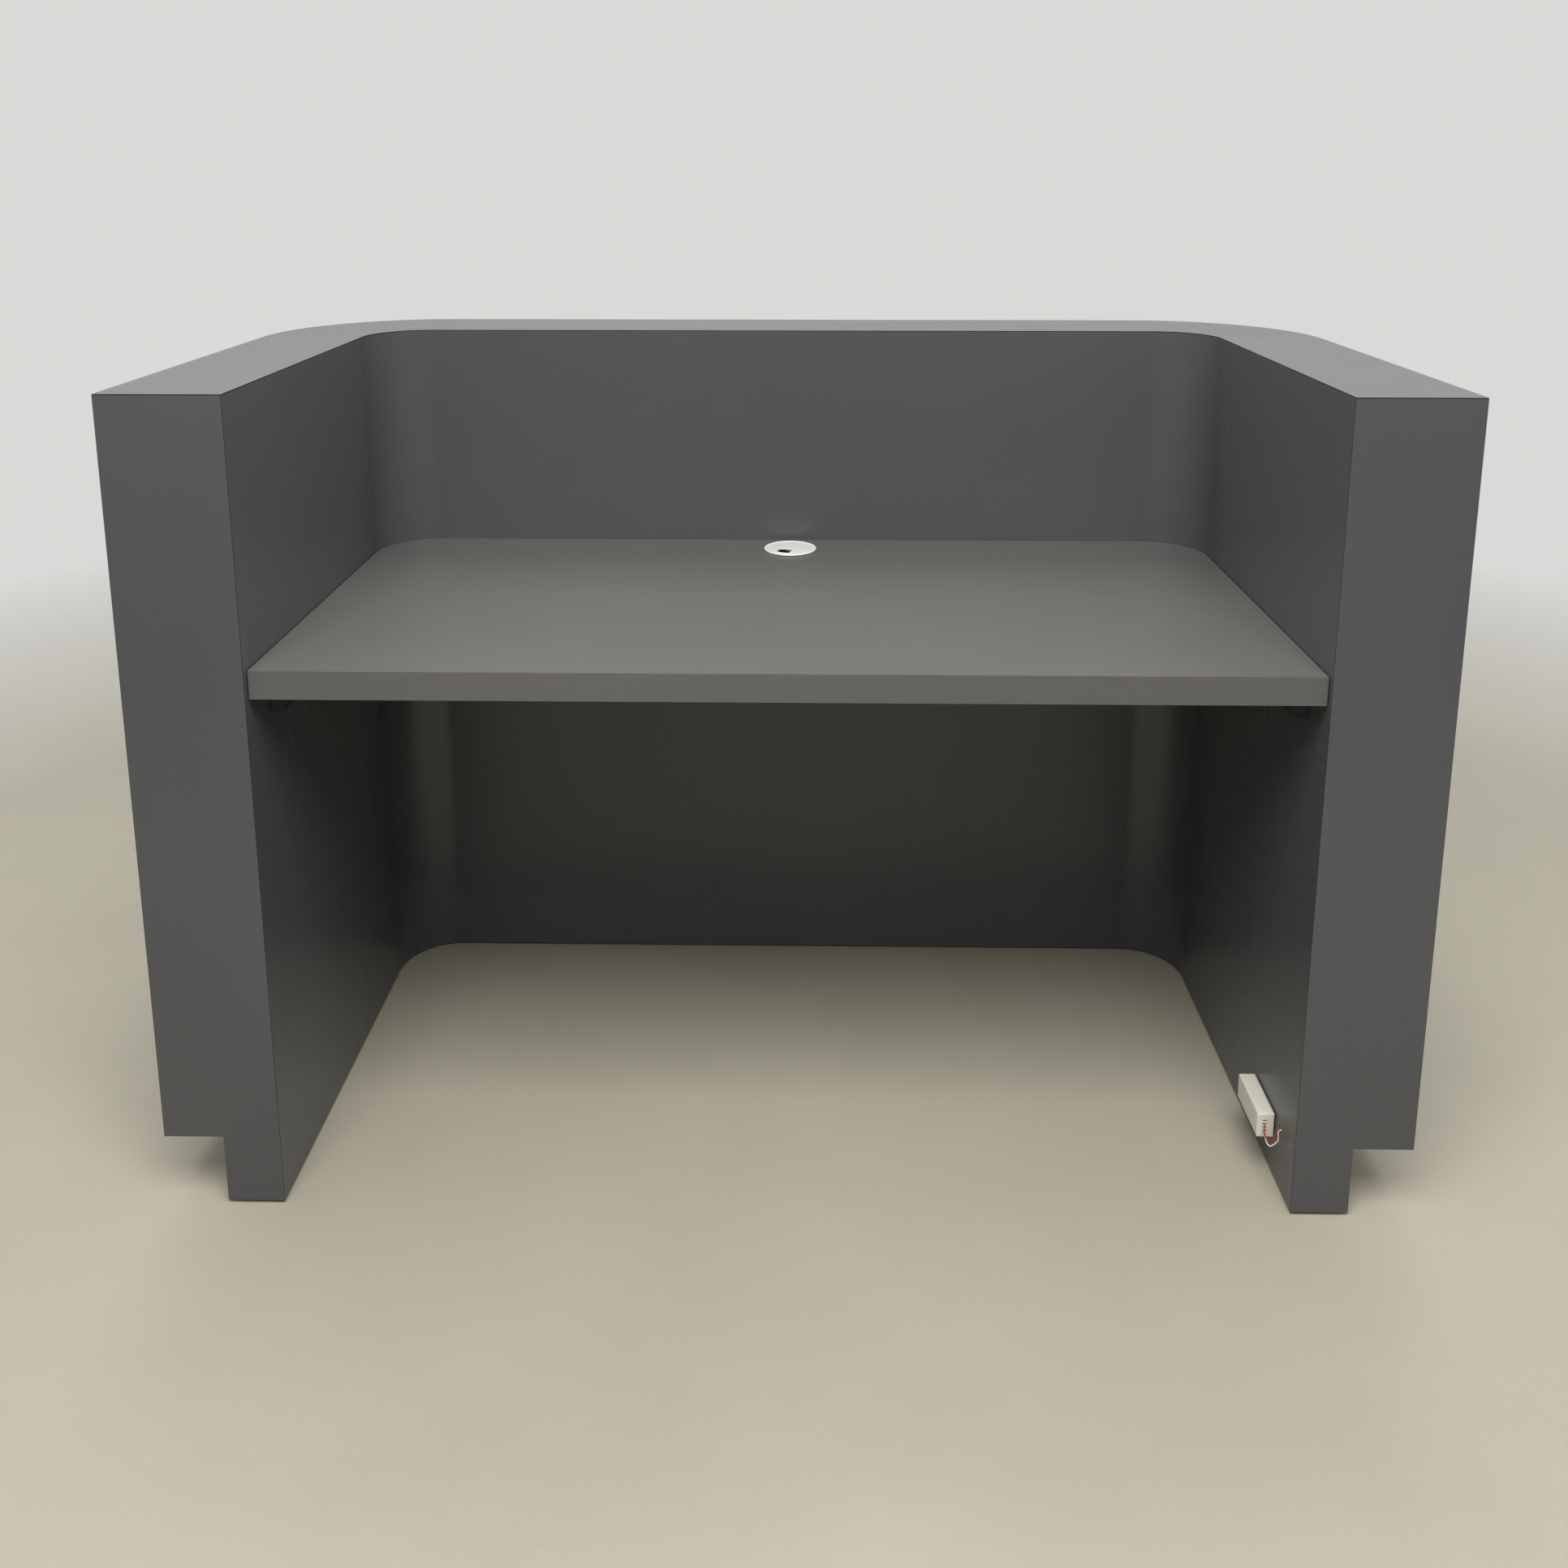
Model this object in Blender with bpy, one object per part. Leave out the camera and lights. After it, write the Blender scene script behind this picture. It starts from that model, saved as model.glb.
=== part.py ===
"""U-shaped service counter: a laminated shell on levelling feet, a worktop on cleats, and its strip light.

Metres, +Z up.  The origin is on the floor under the middle of the counter.  The open side, where the
operator sits, faces -Y; +X is to the right of someone who looks in through the open side.
"""

import math

import bmesh
import bpy
from mathutils import Vector

# Driving sizes, in metres.
WIDTH = 1.676
DEPTH = 0.800
HEIGHT = 1.118
WALL = 0.157
OUTER_RADIUS = 0.247
WORKTOP_HEIGHT = 0.762
WORKTOP_THICKNESS = 0.038
TOE_HEIGHT = 0.102
TOE_RECESS = 0.080
FLOOR_GAP = 0.005

# Sheet goods.
LAMINATE = 0.001
BENT_PLY = 0.008
BOARD = 0.018
GAP = 0.0003
CORNER_STEPS = 24

# Levels that several pieces share.
FRONT = -DEPTH / 2
SKIN_FRONT = FRONT + LAMINATE + GAP
CARCASS_FRONT = SKIN_FRONT + BOARD + GAP
TOP_BOARD_TOP = HEIGHT - LAMINATE - GAP
CARCASS_TOP = TOP_BOARD_TOP - BOARD - GAP
FORMER_LEVEL = 0.600
STUD_WING_PLACES = {"front": -0.290, "rear": 0.110}
STUD_BACK_PLACES = {"back_left": -0.420, "back_right": 0.420}

# How far a cutter runs past the piece that it cuts.
CUT_PAST = 0.010

# Distances in from the outer face of the shell.
OUTER_SKIN_IN = LAMINATE + GAP
OUTER_CORE_IN = OUTER_SKIN_IN + BENT_PLY + GAP
INNER_SKIN_IN = WALL - LAMINATE - GAP
INNER_CORE_IN = INNER_SKIN_IN - BENT_PLY - GAP
TOE_SKIN_IN = TOE_RECESS + LAMINATE + GAP
TOE_CORE_IN = TOE_SKIN_IN + BENT_PLY + GAP

# Worktop and what is fixed to it.
SIDE_CLEARANCE = 0.0015
WORKTOP_SETBACK = 0.010
CLEAT_WIDTH = 0.020
CLEAT_HEIGHT = 0.042
CLEAT_SETBACK = 0.074
BACK_CLEAT_LENGTH = 0.900
GROMMET_CENTRE = (0.0, 0.182)
GROMMET_HOLE_RADIUS = 0.040
ROUND_STEPS = 48

# Strip light in the underside of the overhang.
CHANNEL_IN = 0.030
CHANNEL_WIDTH = 0.0173
CHANNEL_HEIGHT = 0.008
CHANNEL_WALL = 0.0014
CHANNEL_SETBACK = 0.004
STRIP_WIDTH = 0.010
STRIP_THICKNESS = 0.0012
STRIP_SETBACK = 0.004
DIFFUSER_THICKNESS = 0.0016

# Driver of the strip light, on the inside of the right wing.
DRIVER_FRONT = -0.323
DRIVER_LENGTH = 0.088
DRIVER_LOW = 0.060
DRIVER_HEIGHT = 0.036
DRIVER_OUT = 0.025
DRIVER_WALL = 0.0018
DRIVER_COVER = 0.002
TAPE = 0.001
TAPE_MARGIN_ALONG = 0.006
TAPE_MARGIN_UP = 0.004
TERMINALS = 4
TERMINAL_PITCH = 0.0053
TERMINAL_FIRST_UP = 0.0095
TERMINAL_SHIFT = -0.0012
SLOT_WIDTH_HALF = 0.0032
SLOT_HEIGHT_HALF = 0.0013
TERMINAL_BLOCK_DEPTH = 0.012
TERMINAL_BLOCK_MARGIN = 0.0022
TERMINAL_MOUTH_DEPTH = 0.008
CIRCUIT_BOARD_THICKNESS = 0.0016

# Levelling feet: middle of the base board, two in each wing and two at the back.
FOOT_RADIUS = 0.019
STEM_RADIUS = 0.0040
STEM_TOP = 0.045
FOOT_EDGE = 0.001
FOOT_SLOPE_RUN = 0.003
FOOT_SLOPE_RISE = 0.0012
INSERT_BORE = 0.0043
INSERT_RADIUS = 0.0058
INSERT_DEPTH = 0.0130
INSERT_FLANGE_RADIUS = 0.0105
INSERT_FLANGE = 0.0015
FOOT_IN = (TOE_CORE_IN + INNER_CORE_IN) / 2
SMALL_STEPS = 16
FOOT_PLACES = {
    "left_front": (-(WIDTH / 2 - FOOT_IN), -0.330),
    "left_rear": (-(WIDTH / 2 - FOOT_IN), 0.060),
    "back_left": (-0.300, DEPTH / 2 - FOOT_IN),
    "back_right": (0.300, DEPTH / 2 - FOOT_IN),
    "right_rear": (WIDTH / 2 - FOOT_IN, 0.060),
    "right_front": (WIDTH / 2 - FOOT_IN, -0.330),
}

DARK_LAMINATE = ((0.085, 0.083, 0.081), 0.42, 0.0)
WORKTOP_LAMINATE = ((0.105, 0.107, 0.100), 0.40, 0.0)
PLYWOOD = ((0.55, 0.42, 0.27), 0.75, 0.0)
SOLID_WOOD = ((0.035, 0.034, 0.034), 0.70, 0.0)
WHITE_PLASTIC = ((0.80, 0.80, 0.76), 0.35, 0.0)
BLACK_PLASTIC = ((0.02, 0.02, 0.02), 0.45, 0.0)
RED_PVC = ((0.45, 0.02, 0.02), 0.40, 0.0)
ALUMINIUM = ((0.75, 0.75, 0.76), 0.35, 1.0)
ZINC = ((0.60, 0.60, 0.62), 0.35, 1.0)
RUBBER = ((0.03, 0.03, 0.03), 0.80, 0.0)
FOAM_TAPE = ((0.75, 0.75, 0.72), 0.90, 0.0)
CIRCUIT_BOARD = ((0.03, 0.20, 0.08), 0.50, 0.0)


def clear_scene():
    for thing in list(bpy.data.objects):
        bpy.data.objects.remove(thing, do_unlink=True)


def paint(thing, name, look):
    """Gives an object a material of its own."""
    colour, roughness, metallic = look
    material = bpy.data.materials.new(name)
    material.use_nodes = True
    shader = material.node_tree.nodes["Principled BSDF"]
    shader.inputs["Base Color"].default_value = (*colour, 1.0)
    shader.inputs["Roughness"].default_value = roughness
    shader.inputs["Metallic"].default_value = metallic
    thing.data.materials.clear()
    thing.data.materials.append(material)


def place(name, mesh, look, origin=(0, 0, 0)):
    """Puts a mesh, whose points are in world metres, into the scene with its origin at a given point."""
    centre = Vector(origin)
    for vertex in mesh.vertices:
        vertex.co -= centre
    thing = bpy.data.objects.new(name, mesh)
    thing.location = centre
    bpy.context.collection.objects.link(thing)
    if look is not None:
        paint(thing, name, look)
    return thing


def mesh_from(name, build):
    """Makes a mesh from a function that fills a bmesh, and turns its faces outward."""
    shape = bmesh.new()
    build(shape)
    bmesh.ops.recalc_face_normals(shape, faces=shape.faces)
    mesh = bpy.data.meshes.new(name)
    shape.to_mesh(mesh)
    shape.free()
    return mesh


def soften(thing, degrees=30):
    """Shades round stretches smooth and keeps the arrises sharp."""
    thing.data.shade_smooth()
    thing.data.set_sharp_from_angle(angle=math.radians(degrees))


def shell_line(inset, front):
    """Points of a line that follows the shell at a distance in from its outer face, left end first."""
    half = WIDTH / 2 - inset
    back = DEPTH / 2 - inset
    radius = OUTER_RADIUS - inset
    line = [(-half, front)]
    for step in range(CORNER_STEPS + 1):
        turn = math.pi / 2 * step / CORNER_STEPS
        line.append((-half + radius - radius * math.cos(turn), back - radius + radius * math.sin(turn)))
    for step in range(CORNER_STEPS + 1):
        turn = math.pi / 2 * step / CORNER_STEPS
        line.append((half - radius + radius * math.sin(turn), back - radius + radius * math.cos(turn)))
    line.append((half, front))
    return line


def shell_band_mesh(name, outer_in, inner_in, front, low, high):
    """A U-shaped band between two distances in from the outer face."""

    def build(shape):
        rings = []
        for (ox, oy), (ix, iy) in zip(shell_line(outer_in, front), shell_line(inner_in, front)):
            corners = [(ox, oy, low), (ix, iy, low), (ix, iy, high), (ox, oy, high)]
            rings.append([shape.verts.new(corner) for corner in corners])
        for here, there in zip(rings, rings[1:]):
            for side in range(4):
                after = (side + 1) % 4
                shape.faces.new((here[side], here[after], there[after], there[side]))
        shape.faces.new(rings[0])
        shape.faces.new(rings[-1])

    return mesh_from(name, build)


def shell_band(name, outer_in, inner_in, front, low, high, look):
    thing = place(name, shell_band_mesh(name, outer_in, inner_in, front, low, high), look)
    soften(thing)
    return thing


def prism_mesh(name, outline, low, high, axis="Z"):
    """An outline stretched along Z, or an XZ outline stretched along Y."""

    def point(u, v, along):
        return (u, v, along) if axis == "Z" else (u, along, v)

    def build(shape):
        bottom = [shape.verts.new(point(u, v, low)) for u, v in outline]
        top = [shape.verts.new(point(u, v, high)) for u, v in outline]
        shape.faces.new(bottom)
        shape.faces.new(top)
        for here in range(len(outline)):
            after = (here + 1) % len(outline)
            shape.faces.new((bottom[here], bottom[after], top[after], top[here]))

    return mesh_from(name, build)


def box_mesh(name, low, high):
    outline = [(low[0], low[1]), (high[0], low[1]), (high[0], high[1]), (low[0], high[1])]
    return prism_mesh(name, outline, low[2], high[2])


def box(name, low, high, look):
    return place(name, box_mesh(name, low, high), look)


def turned_mesh(name, profile, centre, steps, closed_on_axis):
    """A profile of (radius, height) points turned about a vertical axis."""

    def build(shape):
        rings = []
        for radius, height in profile:
            if radius == 0:
                rings.append([shape.verts.new((centre[0], centre[1], height))])
                continue
            ring = []
            for step in range(steps):
                turn = 2 * math.pi * step / steps
                x = centre[0] + radius * math.cos(turn)
                y = centre[1] + radius * math.sin(turn)
                ring.append(shape.verts.new((x, y, height)))
            rings.append(ring)
        pairs = list(zip(rings, rings[1:]))
        if not closed_on_axis:
            pairs.append((rings[-1], rings[0]))
        for here, there in pairs:
            for step in range(steps):
                after = (step + 1) % steps
                if len(here) == 1:
                    shape.faces.new((here[0], there[step], there[after]))
                elif len(there) == 1:
                    shape.faces.new((here[step], here[after], there[0]))
                else:
                    shape.faces.new((here[step], here[after], there[after], there[step]))

    return mesh_from(name, build)


def turned(name, profile, centre, look, steps=ROUND_STEPS, closed_on_axis=False, origin=None):
    thing = place(
        name,
        turned_mesh(name, profile, centre, steps, closed_on_axis),
        look,
        origin or (centre[0], centre[1], profile[0][1]),
    )
    soften(thing)
    return thing


def guide(name, mesh):
    """An object that only cuts others, and is left out of the model."""
    cutter = place(name, mesh, None)
    cutter.hide_render = True
    cutter.display_type = "WIRE"
    return cutter


def cut(thing, cutter, operation="DIFFERENCE"):
    modifier = thing.modifiers.new(operation.lower() + "_" + cutter.name, "BOOLEAN")
    modifier.operation = operation
    modifier.solver = "EXACT"
    modifier.object = cutter


def cylinder_guide(name, centre, radius, low, high, steps=ROUND_STEPS):
    profile = [(0, low), (radius, low), (radius, high), (0, high)]
    return guide(name, turned_mesh(name, profile, centre, steps, True))


# ---------------------------------------------------------------------------------------- the shell


def shell_skins():
    """Decorative laminate: outside, inside, toe kick, top and the two L-shaped ends."""
    shell_band("outer_laminate", 0, LAMINATE, SKIN_FRONT, TOE_HEIGHT, TOP_BOARD_TOP, DARK_LAMINATE)
    shell_band("inner_laminate", WALL - LAMINATE, WALL, SKIN_FRONT, FLOOR_GAP, TOP_BOARD_TOP, DARK_LAMINATE)
    toe_top = TOE_HEIGHT - GAP
    toe_back = TOE_RECESS + LAMINATE
    shell_band("toe_laminate", TOE_RECESS, toe_back, SKIN_FRONT, FLOOR_GAP, toe_top, DARK_LAMINATE)
    shell_band("top_laminate", 0, WALL, FRONT, HEIGHT - LAMINATE, HEIGHT, DARK_LAMINATE)
    for side, sign in (("left", -1), ("right", 1)):
        outline = wing_outline(sign, 0, 0, 0, TOP_BOARD_TOP)
        mesh = prism_mesh(f"{side}_end_laminate", outline, FRONT, FRONT + LAMINATE, axis="Y")
        place(f"{side}_end_laminate", mesh, DARK_LAMINATE)


def wing_outline(sign, outer_in, inner_back, toe_in, top):
    """The L shape of a wing's end: full width above the toe kick, only the leg beside it."""
    outer = sign * (WIDTH / 2 - outer_in)
    inner = sign * (WIDTH / 2 - WALL + inner_back)
    leg = sign * (WIDTH / 2 - TOE_RECESS - toe_in)
    return [
        (inner, FLOOR_GAP),
        (leg, FLOOR_GAP),
        (leg, TOE_HEIGHT),
        (outer, TOE_HEIGHT),
        (outer, top),
        (inner, top),
    ]


def shell_boards():
    """Bent plywood walls, the flat boards that shape them, and the end boards."""
    outer_back = OUTER_SKIN_IN + BENT_PLY
    shell_band("outer_panel", OUTER_SKIN_IN, outer_back, CARCASS_FRONT, TOE_HEIGHT, CARCASS_TOP, PLYWOOD)
    inner_back = INNER_SKIN_IN - BENT_PLY
    inner_panel = shell_band(
        "inner_panel", inner_back, INNER_SKIN_IN, CARCASS_FRONT, FLOOR_GAP, CARCASS_TOP, PLYWOOD
    )
    toe_top = TOE_HEIGHT - GAP
    toe_back = TOE_SKIN_IN + BENT_PLY
    shell_band("toe_panel", TOE_SKIN_IN, toe_back, CARCASS_FRONT, FLOOR_GAP, toe_top, PLYWOOD)
    board_low = CARCASS_TOP + GAP
    shell_band("top_board", OUTER_SKIN_IN, INNER_SKIN_IN, SKIN_FRONT, board_low, TOP_BOARD_TOP, PLYWOOD)
    level = FORMER_LEVEL
    shell_band("middle_former", OUTER_CORE_IN, INNER_CORE_IN, CARCASS_FRONT, level, level + BOARD, PLYWOOD)
    soffit_top = TOE_HEIGHT + BOARD
    soffit = shell_band(
        "soffit_board", OUTER_CORE_IN, INNER_CORE_IN, CARCASS_FRONT, TOE_HEIGHT, soffit_top, PLYWOOD
    )
    base_top = FLOOR_GAP + BOARD
    base = shell_band("base_board", TOE_CORE_IN, INNER_CORE_IN, CARCASS_FRONT, FLOOR_GAP, base_top, PLYWOOD)
    for side, sign in (("left", -1), ("right", 1)):
        outline = wing_outline(sign, OUTER_SKIN_IN, LAMINATE + GAP, LAMINATE + GAP, CARCASS_TOP)
        mesh = prism_mesh(f"{side}_end_board", outline, SKIN_FRONT, SKIN_FRONT + BOARD, axis="Y")
        place(f"{side}_end_board", mesh, PLYWOOD)
    return inner_panel, soffit, base


def studs():
    """Upright boards between the two bent walls, in two tiers."""
    outer = WIDTH / 2 - OUTER_CORE_IN
    inner = WIDTH / 2 - INNER_CORE_IN
    back_outer = DEPTH / 2 - OUTER_CORE_IN
    back_inner = DEPTH / 2 - INNER_CORE_IN
    half = BOARD / 2
    footprints = {}
    for side, sign in (("left", -1), ("right", 1)):
        across = sorted((sign * inner, sign * outer))
        for where, y in STUD_WING_PLACES.items():
            footprints[f"{side}_{where}"] = ((across[0], y - half), (across[1], y + half))
    for where, x in STUD_BACK_PLACES.items():
        footprints[where] = ((x - half, back_inner), (x + half, back_outer))
    tiers = {
        "lower": (TOE_HEIGHT + BOARD + GAP, FORMER_LEVEL - GAP),
        "upper": (FORMER_LEVEL + BOARD + GAP, CARCASS_TOP - GAP),
    }
    for tier, (low, high) in tiers.items():
        for where, (near, far) in footprints.items():
            box(f"{tier}_stud_{where}", (*near, low), (*far, high), PLYWOOD)


# -------------------------------------------------------------------------------------- the worktop


def worktop_outline():
    """The worktop's plan: square to the front, round at the back, just clear of the inside walls."""
    inset = WALL + SIDE_CLEARANCE
    return shell_line(inset, FRONT + WORKTOP_SETBACK + LAMINATE + GAP)


def worktop():
    """Board, laminate on both faces and a laminated front edge, with the cable hole through them."""
    top = WORKTOP_HEIGHT
    low = WORKTOP_HEIGHT - WORKTOP_THICKNESS
    hole = cylinder_guide("grommet_hole", GROMMET_CENTRE, GROMMET_HOLE_RADIUS, low - CUT_PAST, top + CUT_PAST)
    outline = worktop_outline()
    layers = (
        ("worktop_backing", low, low + LAMINATE, WORKTOP_LAMINATE),
        ("worktop_board", low + LAMINATE + GAP, top - LAMINATE - GAP, PLYWOOD),
        ("worktop_laminate", top - LAMINATE, top, WORKTOP_LAMINATE),
    )
    for name, bottom, upper, look in layers:
        layer = place(name, prism_mesh(name, outline, bottom, upper), look)
        soften(layer)
        cut(layer, hole)
    half = WIDTH / 2 - WALL - SIDE_CLEARANCE
    edge_front = FRONT + WORKTOP_SETBACK
    box("worktop_edging", (-half, edge_front, low), (half, edge_front + LAMINATE, top), WORKTOP_LAMINATE)


def cleats():
    """Battens on the walls that carry the worktop."""
    top = WORKTOP_HEIGHT - WORKTOP_THICKNESS - GAP
    low = top - CLEAT_HEIGHT
    wall = WIDTH / 2 - WALL - GAP
    front = FRONT + CLEAT_SETBACK
    rear = DEPTH / 2 - OUTER_RADIUS
    box("left_cleat", (-wall, front, low), (-wall + CLEAT_WIDTH, rear, top), SOLID_WOOD)
    box("right_cleat", (wall - CLEAT_WIDTH, front, low), (wall, rear, top), SOLID_WOOD)
    back = DEPTH / 2 - WALL - GAP
    half = BACK_CLEAT_LENGTH / 2
    box("back_cleat", (-half, back - CLEAT_WIDTH, low), (half, back, top), SOLID_WOOD)


# Cable grommet: radii and levels of the liner, the lift-out cap and the shutter under it.
FLANGE_RADIUS = 0.0430
FLANGE_THICKNESS = 0.0022
FLANGE_TOP = WORKTOP_HEIGHT + GAP + FLANGE_THICKNESS
FLANGE_CHAMFER = 0.0012
SLEEVE_RADIUS = GROMMET_HOLE_RADIUS - GAP
SLEEVE_BORE = 0.0380
SLEEVE_LOW = WORKTOP_HEIGHT - 0.024
LEDGE_TOP = WORKTOP_HEIGHT - 0.0050
LEDGE_RADIUS = 0.0350
LEDGE_EDGE = 0.0020
LEDGE_SLOPE = 0.0030
CAP_RADIUS = SLEEVE_BORE - GAP
CAP_LOW = LEDGE_TOP + GAP
CAP_TOP = FLANGE_TOP
CAP_CHAMFER = 0.0005
CAP_THICKNESS = 0.0025
CAP_SKIRT_LOW = CAP_LOW - 0.0080
CAP_SKIRT_RADIUS = LEDGE_RADIUS - GAP
CAP_SKIRT_BORE = CAP_SKIRT_RADIUS - 0.0016
CAP_FLOOR = CAP_TOP - CAP_THICKNESS
SHUTTER_RADIUS = CAP_SKIRT_BORE - 0.0004
SHUTTER_TOP = CAP_FLOOR - GAP
SHUTTER_THICKNESS = 0.0014
SHUTTER_LOW = SHUTTER_TOP - SHUTTER_THICKNESS
SHUTTER_HUB = 0.0080
SHUTTER_HALF_ANGLE = math.radians(52)
SHUTTER_OPEN_TURN = math.radians(104)
PIVOT_RADIUS = 0.0018
PIVOT_DEPTH = 0.0015
PIVOT_HEAD_RADIUS = 0.0055
PIVOT_HEAD = 0.0015
SLOT_HALF_WIDTH = 0.0112
SLOT_OFFSET = -0.0036
SLOT_NEAR = 0.0042
SLOT_END_DEPTH = 0.0052
SLOT_FAR_RADIUS = 0.0312
SLOT_BEARING = math.radians(252)
SLOT_STEPS = 12


def grommet_liner():
    """A flanged sleeve with a ledge inside it that carries the cap."""
    profile = [
        (LEDGE_RADIUS, LEDGE_TOP - LEDGE_EDGE),
        (SLEEVE_BORE, LEDGE_TOP - LEDGE_EDGE - LEDGE_SLOPE),
        (SLEEVE_BORE, SLEEVE_LOW),
        (SLEEVE_RADIUS, SLEEVE_LOW),
        (SLEEVE_RADIUS, WORKTOP_HEIGHT + GAP),
        (FLANGE_RADIUS, WORKTOP_HEIGHT + GAP),
        (FLANGE_RADIUS, FLANGE_TOP - FLANGE_CHAMFER),
        (FLANGE_RADIUS - FLANGE_CHAMFER, FLANGE_TOP),
        (SLEEVE_BORE, FLANGE_TOP),
        (SLEEVE_BORE, LEDGE_TOP),
        (LEDGE_RADIUS, LEDGE_TOP),
    ]
    turned("grommet_liner", profile, GROMMET_CENTRE, WHITE_PLASTIC)


def slot_outline():
    """The cable slot in the cap: a shallow round end near the middle, straight sides, and the rim's arc."""
    points = []
    for step in range(SLOT_STEPS + 1):
        turn = math.pi * step / SLOT_STEPS
        x = SLOT_NEAR + SLOT_END_DEPTH * (1 - math.sin(turn))
        points.append((x, SLOT_OFFSET + SLOT_HALF_WIDTH * math.cos(turn)))
    for step in range(SLOT_STEPS + 1):
        y = SLOT_OFFSET - SLOT_HALF_WIDTH + 2 * SLOT_HALF_WIDTH * step / SLOT_STEPS
        points.append((math.sqrt(SLOT_FAR_RADIUS**2 - y**2), y))
    return points


def round_the_grommet(points, bearing):
    """Turns points from the grommet's own axes, X outward, to a compass bearing from +X."""
    turned_points = []
    for x, y in points:
        u = x * math.cos(bearing) - y * math.sin(bearing)
        v = x * math.sin(bearing) + y * math.cos(bearing)
        turned_points.append((GROMMET_CENTRE[0] + u, GROMMET_CENTRE[1] + v))
    return turned_points


def grommet_cap():
    """A round cap with a skirt that drops into the liner, and a blind bore for the shutter's rivet."""
    profile = [
        (0, CAP_TOP),
        (CAP_RADIUS - CAP_CHAMFER, CAP_TOP),
        (CAP_RADIUS, CAP_TOP - CAP_CHAMFER),
        (CAP_RADIUS, CAP_LOW),
        (CAP_SKIRT_RADIUS, CAP_LOW),
        (CAP_SKIRT_RADIUS, CAP_SKIRT_LOW),
        (CAP_SKIRT_BORE, CAP_SKIRT_LOW),
        (CAP_SKIRT_BORE, CAP_FLOOR),
        (PIVOT_RADIUS + GAP, CAP_FLOOR),
        (PIVOT_RADIUS + GAP, CAP_FLOOR + PIVOT_DEPTH),
        (0, CAP_FLOOR + PIVOT_DEPTH),
    ]
    cap = turned("grommet_cap", profile, GROMMET_CENTRE, WHITE_PLASTIC, closed_on_axis=True)
    outline = round_the_grommet(slot_outline(), SLOT_BEARING)
    slot_mesh = prism_mesh("slot_cut", outline, CAP_SKIRT_LOW - CUT_PAST, CAP_TOP + CUT_PAST)
    cut(cap, guide("slot_cut", slot_mesh))


def grommet_shutter():
    """A flat sector under the cap that turns about the rivet to close the slot."""
    outline = []
    for step in range(SMALL_STEPS + 1):
        turn = -SHUTTER_HALF_ANGLE + 2 * SHUTTER_HALF_ANGLE * step / SMALL_STEPS
        outline.append((SHUTTER_RADIUS * math.cos(turn), SHUTTER_RADIUS * math.sin(turn)))
    rest = 2 * math.pi - 2 * SHUTTER_HALF_ANGLE
    for step in range(SMALL_STEPS + 1):
        turn = SHUTTER_HALF_ANGLE + rest * step / SMALL_STEPS
        outline.append((SHUTTER_HUB * math.cos(turn), SHUTTER_HUB * math.sin(turn)))
    open_outline = round_the_grommet(outline, SLOT_BEARING + SHUTTER_OPEN_TURN)
    mesh = prism_mesh("grommet_shutter", open_outline, SHUTTER_LOW, SHUTTER_TOP)
    shutter = place("grommet_shutter", mesh, WHITE_PLASTIC, (*GROMMET_CENTRE, SHUTTER_LOW))
    low = SHUTTER_LOW - CUT_PAST
    high = SHUTTER_TOP + CUT_PAST
    cut(shutter, cylinder_guide("shutter_bore", GROMMET_CENTRE, PIVOT_RADIUS + GAP, low, high, SMALL_STEPS))


def grommet_pivot():
    """The rivet under the cap that the shutter turns on."""
    head_top = SHUTTER_LOW - GAP
    profile = [
        (0, head_top - PIVOT_HEAD),
        (PIVOT_HEAD_RADIUS, head_top - PIVOT_HEAD),
        (PIVOT_HEAD_RADIUS, head_top),
        (PIVOT_RADIUS, head_top),
        (PIVOT_RADIUS, CAP_FLOOR + PIVOT_DEPTH - GAP),
        (0, CAP_FLOOR + PIVOT_DEPTH - GAP),
    ]
    turned("grommet_pivot", profile, GROMMET_CENTRE, WHITE_PLASTIC, SMALL_STEPS, closed_on_axis=True)


# ------------------------------------------------------------------------------------ the strip light


def strip_light(soffit):
    """Aluminium channel let into the underside of the overhang, with its strip and cover."""
    front = CARCASS_FRONT + CHANNEL_SETBACK
    channel_front = front + GAP
    far = CHANNEL_IN + CHANNEL_WIDTH
    roof = TOE_HEIGHT + CHANNEL_HEIGHT
    below = TOE_HEIGHT - CUT_PAST
    groove = shell_band_mesh("channel_groove", CHANNEL_IN - GAP, far + GAP, front, below, roof + GAP)
    cut(soffit, guide("channel_groove", groove))
    channel = shell_band("light_channel", CHANNEL_IN, far, channel_front, TOE_HEIGHT, roof, ALUMINIUM)
    inside_near = CHANNEL_IN + CHANNEL_WALL
    inside_far = far - CHANNEL_WALL
    ceiling = roof - CHANNEL_WALL
    inside = shell_band_mesh("channel_inside", inside_near, inside_far, front - CUT_PAST, below, ceiling)
    cut(channel, guide("channel_inside", inside))
    strip_near = CHANNEL_IN + (CHANNEL_WIDTH - STRIP_WIDTH) / 2
    strip_far = strip_near + STRIP_WIDTH
    strip_front = channel_front + STRIP_SETBACK
    strip_top = ceiling - GAP
    strip_low = strip_top - STRIP_THICKNESS
    shell_band("light_strip", strip_near, strip_far, strip_front, strip_low, strip_top, WHITE_PLASTIC)
    cover_top = TOE_HEIGHT + DIFFUSER_THICKNESS
    cover_near = inside_near + GAP
    cover_far = inside_far - GAP
    shell_band("light_diffuser", cover_near, cover_far, channel_front, TOE_HEIGHT, cover_top, WHITE_PLASTIC)
    return channel


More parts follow.
